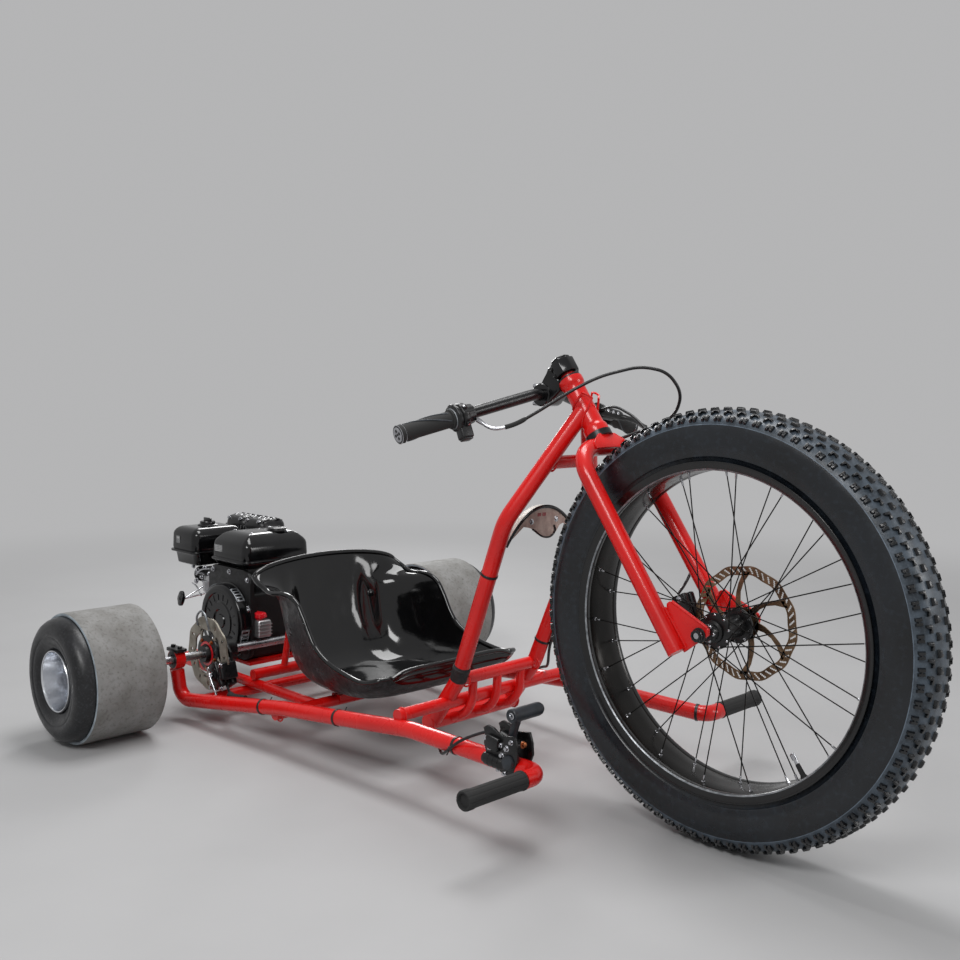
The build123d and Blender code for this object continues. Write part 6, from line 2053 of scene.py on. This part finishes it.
@dataclass
class FrameDress:
    """Bearing housings, straps, tape and the tubes' collars."""

    nodes: dict[str, bpy.types.Object]
    tube: float = 0.016

    def _strap(self, piece: Piece, line: BarLine, spot: float, width: float, finish: Finish,
               proud: float = 0.0009, buckle: bool = False) -> None:
        """Wraps a band round a tube.

        Args:
            piece: The piece.
            line: The tube's middle line.
            spot: Where on its axis the band lies.
            width: The band's width.
            finish: The finish.
            proud: How far it stands out of the tube.
            buckle: Whether it has a tie's head.
        """
        at = line.place(spot)
        r, w = self.tube, width / 2
        piece.lathe([(r - 0.0004, -w), (r + proud * 0.6, -w), (r + proud, -w * 0.8), (r + proud, w * 0.8),
                     (r + proud * 0.6, w), (r - 0.0004, w)], at, finish, 40, closed=True)
        if buckle:
            head = turned(at, 2.4)
            piece.block((0.0045, 0.0065, width * 1.35), shifted(head, x=r + 0.0022), finish, 0.0012)
            tail = [head @ Vector((r + 0.002, 0.002, 0)), head @ Vector((r + 0.012, 0.01, 0.001))]
            piece.tube(tail, 0.0013, finish, 6)

    def bands(self) -> None:
        """Adds the tape, ties and rubber rings on the tubes."""
        piece = Piece("tape_and_ties")
        right = BarLine(self.nodes["down_tube_right"], 2)
        left = BarLine(self.nodes["down_tube_left"], 2)
        self._strap(piece, right, 0.216, 0.034, TAPE, 0.0011)
        self._strap(piece, right, 0.224, 0.008, TAPE, 0.002)
        for line, spot in ((right, 0.424), (left, 0.4), (left, 0.25)):
            self._strap(piece, line, spot, 0.0052, MATT, 0.0013, buckle=True)
        for side, spots in ((Side.RIGHT, (0.235, -0.1, -0.34)), (Side.LEFT, (0.415, 0.12, -0.3))):
            rail = BarLine(self.nodes[f"rail_{side.word}"], 0)
            for spot in spots:
                self._strap(piece, rail, spot, 0.006, MATT, 0.0013, buckle=side is Side.RIGHT)
        piece.done(Body.FRAME)

    def bearings(self) -> None:
        """Makes the axle's bearing housings: a red body with a black bolted cap."""
        piece = Piece("axle_bearing_housings")
        node = Box.of("axle_carriers")
        half = node.size.z / 2
        for side in Side:
            out = node.high.y * side.value
            inner = (node.middle.x, out - side.value * 0.024, node.middle.z)
            at = place(inner, (0, side.value, 0), (1, 0, 0))
            piece.lathe([(0.0115, 0.0), (half - 0.0035, 0.0), (half - 0.0022, 0.0012),
                         (half - 0.0022, 0.0228), (half - 0.0035, 0.024), (0.0115, 0.024)], at, RED, 56,
                        closed=True)
            for height in (-0.0006, 0.0232):
                piece.lathe([(0.0112, height), (0.019, height), (0.02, height + 0.0008),
                             (0.0112, height + 0.0014)], at, BLACK, 48, closed=True)
            top = Vector((node.middle.x, out - side.value * 0.012, node.high.z - 0.0015))
            piece.block((0.046, 0.028, 0.0085), place(top + Vector((0, 0, -0.001))), BLACK, 0.002)
            for x in (-0.015, 0.015):
                piece.bolt(place(top + Vector((x, 0, 0.002))), 0.01, 0.0065, BLACK)
        piece.done(Body.FRAME, "axle_carriers", slot="black_metal")

    def make(self) -> None:
        """Makes the frame's small parts."""
        self.bands()
        self.bearings()


@dataclass
class ArchedPanel:
    """The arched panel between the down tubes: pale top edge, black band and plain face."""

    curve: float = 2.1
    thick: float = 0.003
    deep: float = 0.013
    trim: float = 0.0026

    def make(self) -> None:
        """Makes the panel."""
        piece = Piece("arched_panel")
        node = Box.of("front_plate")
        half, top, foot = node.high.y, node.high.z, node.low.z
        arch = []
        for k in range(33):
            y = -half + 2 * half * k / 32
            arch.append((y, foot + (top - foot) * (1 - abs(y / half) ** self.curve)))
        lower = [(0.058, foot + 0.03), (0.046, foot + 0.026), (0.036, foot + 0.014), (0.018, foot + 0.0055),
                 (0.0, foot + 0.006), (-0.018, foot + 0.013), (-0.032, foot + 0.024), (-0.042, foot + 0.027),
                 (-0.058, foot + 0.03)]
        x = node.high.x
        outline = [Vector((x, y, z)) for y, z in [(y, z - 0.003) for y, z in arch] + lower]
        at = place((x, 0, 0), (-1, 0, 0), (0, 1, 0))
        inverse = at.inverted()
        flat = [inverse @ p for p in outline]
        piece.prism([(p.x, p.y) for p in flat], self.thick, at, FACE)
        band = [Vector((x + 0.0008, y * 0.985, z - 0.0042)) for y, z in arch]
        piece.tube(band, self.trim, GLOSS, 10)
        for (y0, z0), (y1, z1) in zip(arch, arch[1:]):
            back = [Vector((x - self.deep, y1, z1 - 0.001)), Vector((x - self.deep, y0, z0 - 0.001))]
            piece.add([Vector((x + 0.001, y0, z0)), Vector((x + 0.001, y1, z1)), *back], [(0, 1, 2, 3)],
                      PANEL_TOP)
            piece.add([Vector((x - 0.003, y0, z0 - 0.003)), Vector((x - 0.003, y1, z1 - 0.003)), *back],
                      [(3, 2, 1, 0)], GLOSS)
        hook = [(-0.034, 0.0235), (-0.026, 0.019), (-0.008, 0.0085), (0.012, 0.0045), (0.026, 0.0095),
                (0.032, 0.019), (0.028, 0.027)]
        line = [Vector((x + 0.0012, y, foot + z)) for y, z in hook]
        piece.tube(smooth_line(line, 6), 0.0019, GLOSS, 8)
        for y in (-0.014, 0.0):
            mark = place((x + 0.0002, y, top - 0.0185), (1, 0, 0), (0, 1, 0))
            piece.block((0.01, 0.0065, 0.0008), mark, PANEL_MARK, 0.0003)
        for y in (-0.036, 0.036):
            piece.bolt(place((x, y, top - 0.025 - abs(y) * 0.15), (1, 0, 0)), 0.007, 0.003, CHROME)
        piece.done(Body.FRAME, "front_plate", slot="black_plastic", sharp=30)


@dataclass
class FootArea:
    """The foot brake's cylinder, plates and roller, and the ribbed pegs."""

    roller_radius: float = 0.0122
    plate_thick: float = 0.0055
    peg_start: float = 0.2925
    peg_ribs: int = 10

    def brake(self) -> None:
        """Makes the foot brake."""
        piece = Piece("foot_brake")
        node = Box.of("brake_pedal")
        near, far = node.low.y, node.high.y
        roller_r = self.roller_radius
        roller = node.at(0.82, 0, 1) + Vector((0, 0.003, -roller_r - 0.003))
        at = place(roller, (0, 1, 0))
        long = far - near - 0.004
        piece.lathe([(0.0042, 0.003), (0.0088, 0.0016), (0.0108, 0.0), (roller_r, 0.0014),
                     (roller_r, long - 0.012), (0.0112, long - 0.0065), (0.0084, long - 0.002),
                     (0.004, long - 0.0003), (0.001, long)], at, PAD, 40)
        piece.lathe([(0.004, 0.0055), (0.0058, 0.0012), (0.004, 0.0004), (0.0028, 0.003)], at, CHROME, 24,
                    closed=True)
        span, tall = node.size.x, node.size.z
        plate = [(0.02, 0.62), (0.1, 0.54), (0.04, 0.4), (0.12, 0.24), (0.3, 0.16), (0.5, 0.05),
                 (0.72, 0.02), (0.86, 0.1), (0.97, 0.3), (0.95, 0.48), (0.88, 0.62), (0.7, 0.6),
                 (0.52, 0.56), (0.3, 0.66), (0.14, 0.68)]
        for y in (near + 0.012, near + 0.05):
            side = place((node.low.x, y, node.low.z), (0, -1, 0), (1, 0, 0))
            piece.prism([(s * span, h * tall * 0.93 + 0.004) for s, h in plate], self.plate_thick, side,
                        BLACK, 0.0015, 2)
        piece.block((span * 0.62, 0.034, tall * 0.34),
                    place(node.at(0.5, 0, 0.31) + Vector((0, 0.03, 0))), BLACK, 0.005, 3)
        piece.lathe([(0.0125, 0.0), (0.0125, 0.05), (0.01, 0.053), (0.001, 0.053)],
                    place(node.at(0.16, 0.5, 0.44), (0.92, 0, -0.25)), BLACK, 32)
        arm = smooth_line([node.at(0.6, 0.3, 0.4), node.at(0.68, 0.28, 0.62),
                           roller + Vector((0, 0.02, 0))], 5)
        piece.tube(arm, [0.0088] * 4 + [0.0076] * (len(arm) - 4), PAD, 14)
        cap = place(node.at(0.74, 0, 0.24) + Vector((0, 0.007, 0)), (0, -1, 0.1))
        piece.lathe([(0.013, -0.002), (0.013, 0.004), (0.0115, 0.0068), (0.0065, 0.0082), (0.001, 0.0086)],
                    cap, PAD, 32)
        barrel = place(node.at(0, 0, 0.2) + Vector((0.006, 0.0095, 0)), (1, 0, -0.02))
        piece.lathe([(0.006, -0.004), (0.0095, -0.002), (0.01, 0.004), (0.0118, 0.005), (0.0118, 0.046),
                     (0.0104, 0.048), (0.0104, 0.056), (0.007, 0.06), (0.001, 0.0605)], barrel, BLACK, 32)
        for x in (0.012, 0.024, 0.036):
            piece.lathe([(0.0112, x), (0.0126, x + 0.001), (0.0126, x + 0.003), (0.0112, x + 0.004)], barrel,
                        BLACK, 32, closed=True)
        piece.block((0.03, 0.012, 0.024), place(node.at(0.34, 0, 0.45) + Vector((0, 0.004, 0)), (0.15, 0, 1)),
                    BLACK, 0.003, 3)
        for s, h, size in ((0.12, 0.48, 0.006), (0.5, 0.44, 0.0066), (0.22, 0.36, 0.0054),
                           (0.8, 0.52, 0.0058), (0.68, 0.42, 0.007), (0.55, 0.31, 0.0064),
                           (0.46, 0.1, 0.005), (0.62, 0.07, 0.005)):
            piece.bolt(place(node.at(s, 0, h) + Vector((0, 0.0068, 0)), (0, -1, 0)), size, 0.0048, CHROME)
        for k in range(4):
            at = place(node.at(0.9, 0, 0.05 + 0.055 * k) + Vector((0, 0.018, 0)), (0.25, -0.9, 0.5))
            piece.lathe([(0.004, 0.0), (0.0088, 0.0), (0.0088, 0.0018), (0.004, 0.0018)], at,
                        COPPER if k % 2 else CHROME, 24, closed=True)
        piece.bolt(place(node.at(0.92, 0.3, 0.48), (1, 0, 0.2)), 0.008, 0.006, COPPER)
        piece.done(Body.FRAME, "brake_pedal", slot="black_metal")

    def pegs(self) -> None:
        """Makes both pegs: ribbed rubber with a hollow rimmed end."""
        piece = Piece("ribbed_foot_pegs")
        node = Box.of("foot_pegs")
        radius = node.size.z / 2
        for side in Side:
            at = place((node.middle.x, self.peg_start * side.value, node.middle.z), (0, side.value, 0))
            long = node.high.y - self.peg_start
            profile = [(radius * 0.7, 0.0), (radius - 0.0012, 0.0), (radius, 0.0015), (radius, 0.005),
                       (radius - 0.0012, 0.0062)]
            profile += [(radius - 0.0012, 0.0062 + (long - 0.024) * k / 6) for k in range(1, 7)]
            profile += [(radius - 0.0002, long - 0.0155), (radius, long - 0.014), (radius, long - 0.002),
                        (radius - 0.0015, long), (radius - 0.004, long), (radius - 0.0052, long - 0.002),
                        (radius - 0.0058, long - 0.0052), (0.001, long - 0.0054)]
            piece.lathe(profile, at, RUBBER, 96,
                        wave=lambda angle: 1.0 - 0.05 * max(0.0, math.cos(self.peg_ribs * angle)) ** 8)
            rim = shifted(at, z=long - 0.0004)
            piece.lathe([(radius - 0.0046, -0.0006), (radius - 0.0036, 0.0003), (radius - 0.0024, -0.0006)],
                        rim, STEEL, 64, closed=True)
        piece.done(Body.FRAME, "foot_pegs", slot="grip_rubber")

    def make(self) -> None:
        """Makes the brake and the pegs."""
        self.brake()
        self.pegs()


# --- studio


@dataclass(frozen=True)
class Lamp:
    """A soft rectangular lamp: where it hangs, what it faces, its size and its power in watts."""

    name: str
    at: tuple[float, float, float]
    aim: tuple[float, float, float]
    size: Point
    power: float

    def make(self) -> None:
        """Hangs the lamp."""
        data = bpy.data.lights.new(self.name, "AREA")
        data.shape, data.energy = "RECTANGLE", self.power
        data.size, data.size_y = self.size
        made = bpy.data.objects.new(self.name, data)
        bpy.context.scene.collection.objects.link(made)
        made.matrix_world = place(self.at, Vector(self.at) - Vector(self.aim))


@dataclass
class Studio:
    """The camera, a plain floor that fades into the surroundings, and soft lamps."""

    eye: tuple[float, float, float] = (1.6657, -1.6215, 0.788)
    ahead: tuple[float, float, float] = (-0.70593, 0.70296, -0.08667)
    level: tuple[float, float, float] = (0.70493, 0.7092, 0.01045)
    lens: float = 41.98
    sensor: float = 36.0
    seen: Point = (0.05, 60.0)
    floor_colour: Colour = (0.47, 0.47, 0.475)
    backdrop: Colour = (0.46, 0.46, 0.465)
    ambient: float = 0.3
    fade: Point = (1.3, 4.2)
    floor_size: float = 30.0
    floor_drop: float = 0.0005
    lamps: tuple[Lamp, ...] = (Lamp("key", (1.2, -2.4, 2.6), (0.0, 0.0, 0.3), (1.6, 0.9), 46),
                               Lamp("top", (-0.3, 0.3, 3.0), (0.0, 0.0, 0.2), (1.8, 1.0), 46),
                               Lamp("rim", (-2.6, 1.6, 1.8), (-0.2, 0.0, 0.3), (0.6, 1.6), 30),
                               Lamp("side", (2.8, 1.2, 1.4), (0.4, 0.0, 0.4), (0.6, 1.4), 18))

    def camera(self) -> None:
        """Makes the camera."""
        data = bpy.data.cameras.new("camera")
        data.lens, data.sensor_width = self.lens, self.sensor
        data.clip_start, data.clip_end = self.seen
        made = bpy.data.objects.new("camera", data)
        bpy.context.scene.collection.objects.link(made)
        back = -Vector(self.ahead).normalized()
        right = Vector(self.level)
        right = (right - back * back.dot(right)).normalized()
        made.matrix_world = Matrix((right, back.cross(right), back)).transposed().to_4x4()
        made.location = self.eye
        bpy.context.scene.camera = made

    def floor(self) -> None:
        """Makes the floor, plain near the trike and as pale as the surroundings far away."""
        data = bpy.data.meshes.new("floor")
        size = self.floor_size
        data.from_pydata([(-size, -size, 0), (size, -size, 0), (size, size, 0), (-size, size, 0)], [],
                         [(0, 1, 2, 3)])
        made = bpy.data.objects.new("floor", data)
        made.location.z = -self.floor_drop
        bpy.context.scene.collection.objects.link(made)
        shade = tuple(c * 0.97 for c in self.floor_colour)
        material = Finish("pale_floor", self.floor_colour, shade, 3, rough=(0.7, 0.8), grain=200,
                          relief=0.02, shine=0.2).material()
        self._fade(material.node_tree)
        data.materials.append(material)

    def _fade(self, tree: Tree) -> None:
        """Lets the floor fade into the surroundings with distance.

        Args:
            tree: The floor material's node tree.
        """
        shader, output = tree.nodes["Principled BSDF"], tree.nodes["Material Output"]
        spot = tree.nodes.new("ShaderNodeTexCoord").outputs["Object"]
        length = tree.nodes.new("ShaderNodeVectorMath")
        length.operation = "LENGTH"
        tree.links.new(spot, length.inputs[0])
        far = tree.nodes.new("ShaderNodeMapRange")
        far.interpolation_type = "SMOOTHSTEP"
        for socket, number in zip(far.inputs[1:5], (*self.fade, 0.0, 1.0)):
            socket.default_value = number
        tree.links.new(length.outputs["Value"], far.inputs["Value"])
        share = tree.nodes.new("ShaderNodeMath")
        share.operation = "MULTIPLY"
        tree.links.new(far.outputs["Result"], share.inputs[0])
        tree.links.new(self._seen(tree), share.inputs[1])
        glow = tree.nodes.new("ShaderNodeEmission")
        glow.inputs["Color"].default_value = (*self.backdrop, 1.0)
        glow.inputs["Strength"].default_value = 1.0
        mix = tree.nodes.new("ShaderNodeMixShader")
        tree.links.new(share.outputs[0], mix.inputs[0])
        tree.links.new(shader.outputs[0], mix.inputs[1])
        tree.links.new(glow.outputs[0], mix.inputs[2])
        tree.links.new(mix.outputs[0], output.inputs["Surface"])

    @staticmethod
    def _seen(tree: Tree) -> Socket:
        """The socket that is 1 for rays that show the surroundings.

        Args:
            tree: The node tree that it goes into.

        Returns:
            The socket.
        """
        rays = tree.nodes.new("ShaderNodeLightPath")
        made = rays.outputs["Is Camera Ray"]
        for name in ("Is Glossy Ray", "Is Transmission Ray"):
            either = tree.nodes.new("ShaderNodeMath")
            either.operation = "MAXIMUM"
            tree.links.new(made, either.inputs[0])
            tree.links.new(rays.outputs[name], either.inputs[1])
            made = either.outputs[0]
        return made

    def world(self) -> None:
        """Makes the even surroundings, paler to the eye and in reflections than as a lamp."""
        world = bpy.data.worlds.new("surroundings")
        bpy.context.scene.world = world
        world.use_nodes = True
        tree = world.node_tree
        mix = tree.nodes.new("ShaderNodeMix")
        mix.data_type = "RGBA"
        tree.links.new(self._seen(tree), mix.inputs[0])
        mix.inputs[6].default_value = (self.ambient, self.ambient, self.ambient, 1.0)
        mix.inputs[7].default_value = (*self.backdrop, 1.0)
        tree.links.new(mix.outputs[2], tree.nodes["Background"].inputs["Color"])

    def make(self) -> None:
        """Makes the camera, floor, surroundings and lamps."""
        self.camera()
        self.floor()
        self.world()
        for lamp in self.lamps:
            lamp.make()
        bpy.context.scene.view_settings.view_transform = "Standard"


def dress_nodes(frame: dict) -> None:
    """Gives every carried-over node its finish.
    """
    for finish, nodes in NODE_FINISH.items():
        for node in nodes:
            slots = frame["nodes"][node].data.materials
            slots.clear()
            slots.append(finish.material())


def main() -> None:
    """Loads the frame and builds every sub-assembly in order."""
    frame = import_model()
    Studio().make()
    dress_nodes(frame)
    FrontWheel(*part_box("front_tyre")).make()
    for side in Side:
        KartWheel(side).make()
    Seat(*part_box("seat_shell")).make()
    Engine().make()
    Drive().make()
    nodes = frame["nodes"]
    RearBrake(nodes["rear_brake_hose"]).make()
    joints = {joint["name"]: joint for joint in frame["record"]["behaviour"]["joints"]}
    tilt = Vector(joints["steering_turn"]["axis"])
    axle = Vector(joints["front_wheel_spin"]["pos_m"])
    on_axis = Vector(joints["steering_turn"]["pos_m"])
    foot = on_axis + tilt * (axle - on_axis).dot(tilt)
    Cockpit(nodes["handlebar"], nodes["throttle_cable"], foot, tilt).make()
    HeadAndFork(nodes, foot, tilt, axle).make()
    FrameDress(nodes).make()
    ArchedPanel().make()
    FootArea().make()


if __name__ == "__main__":
    logging.basicConfig(level=logging.INFO, format="%(name)s: %(message)s")
    main()
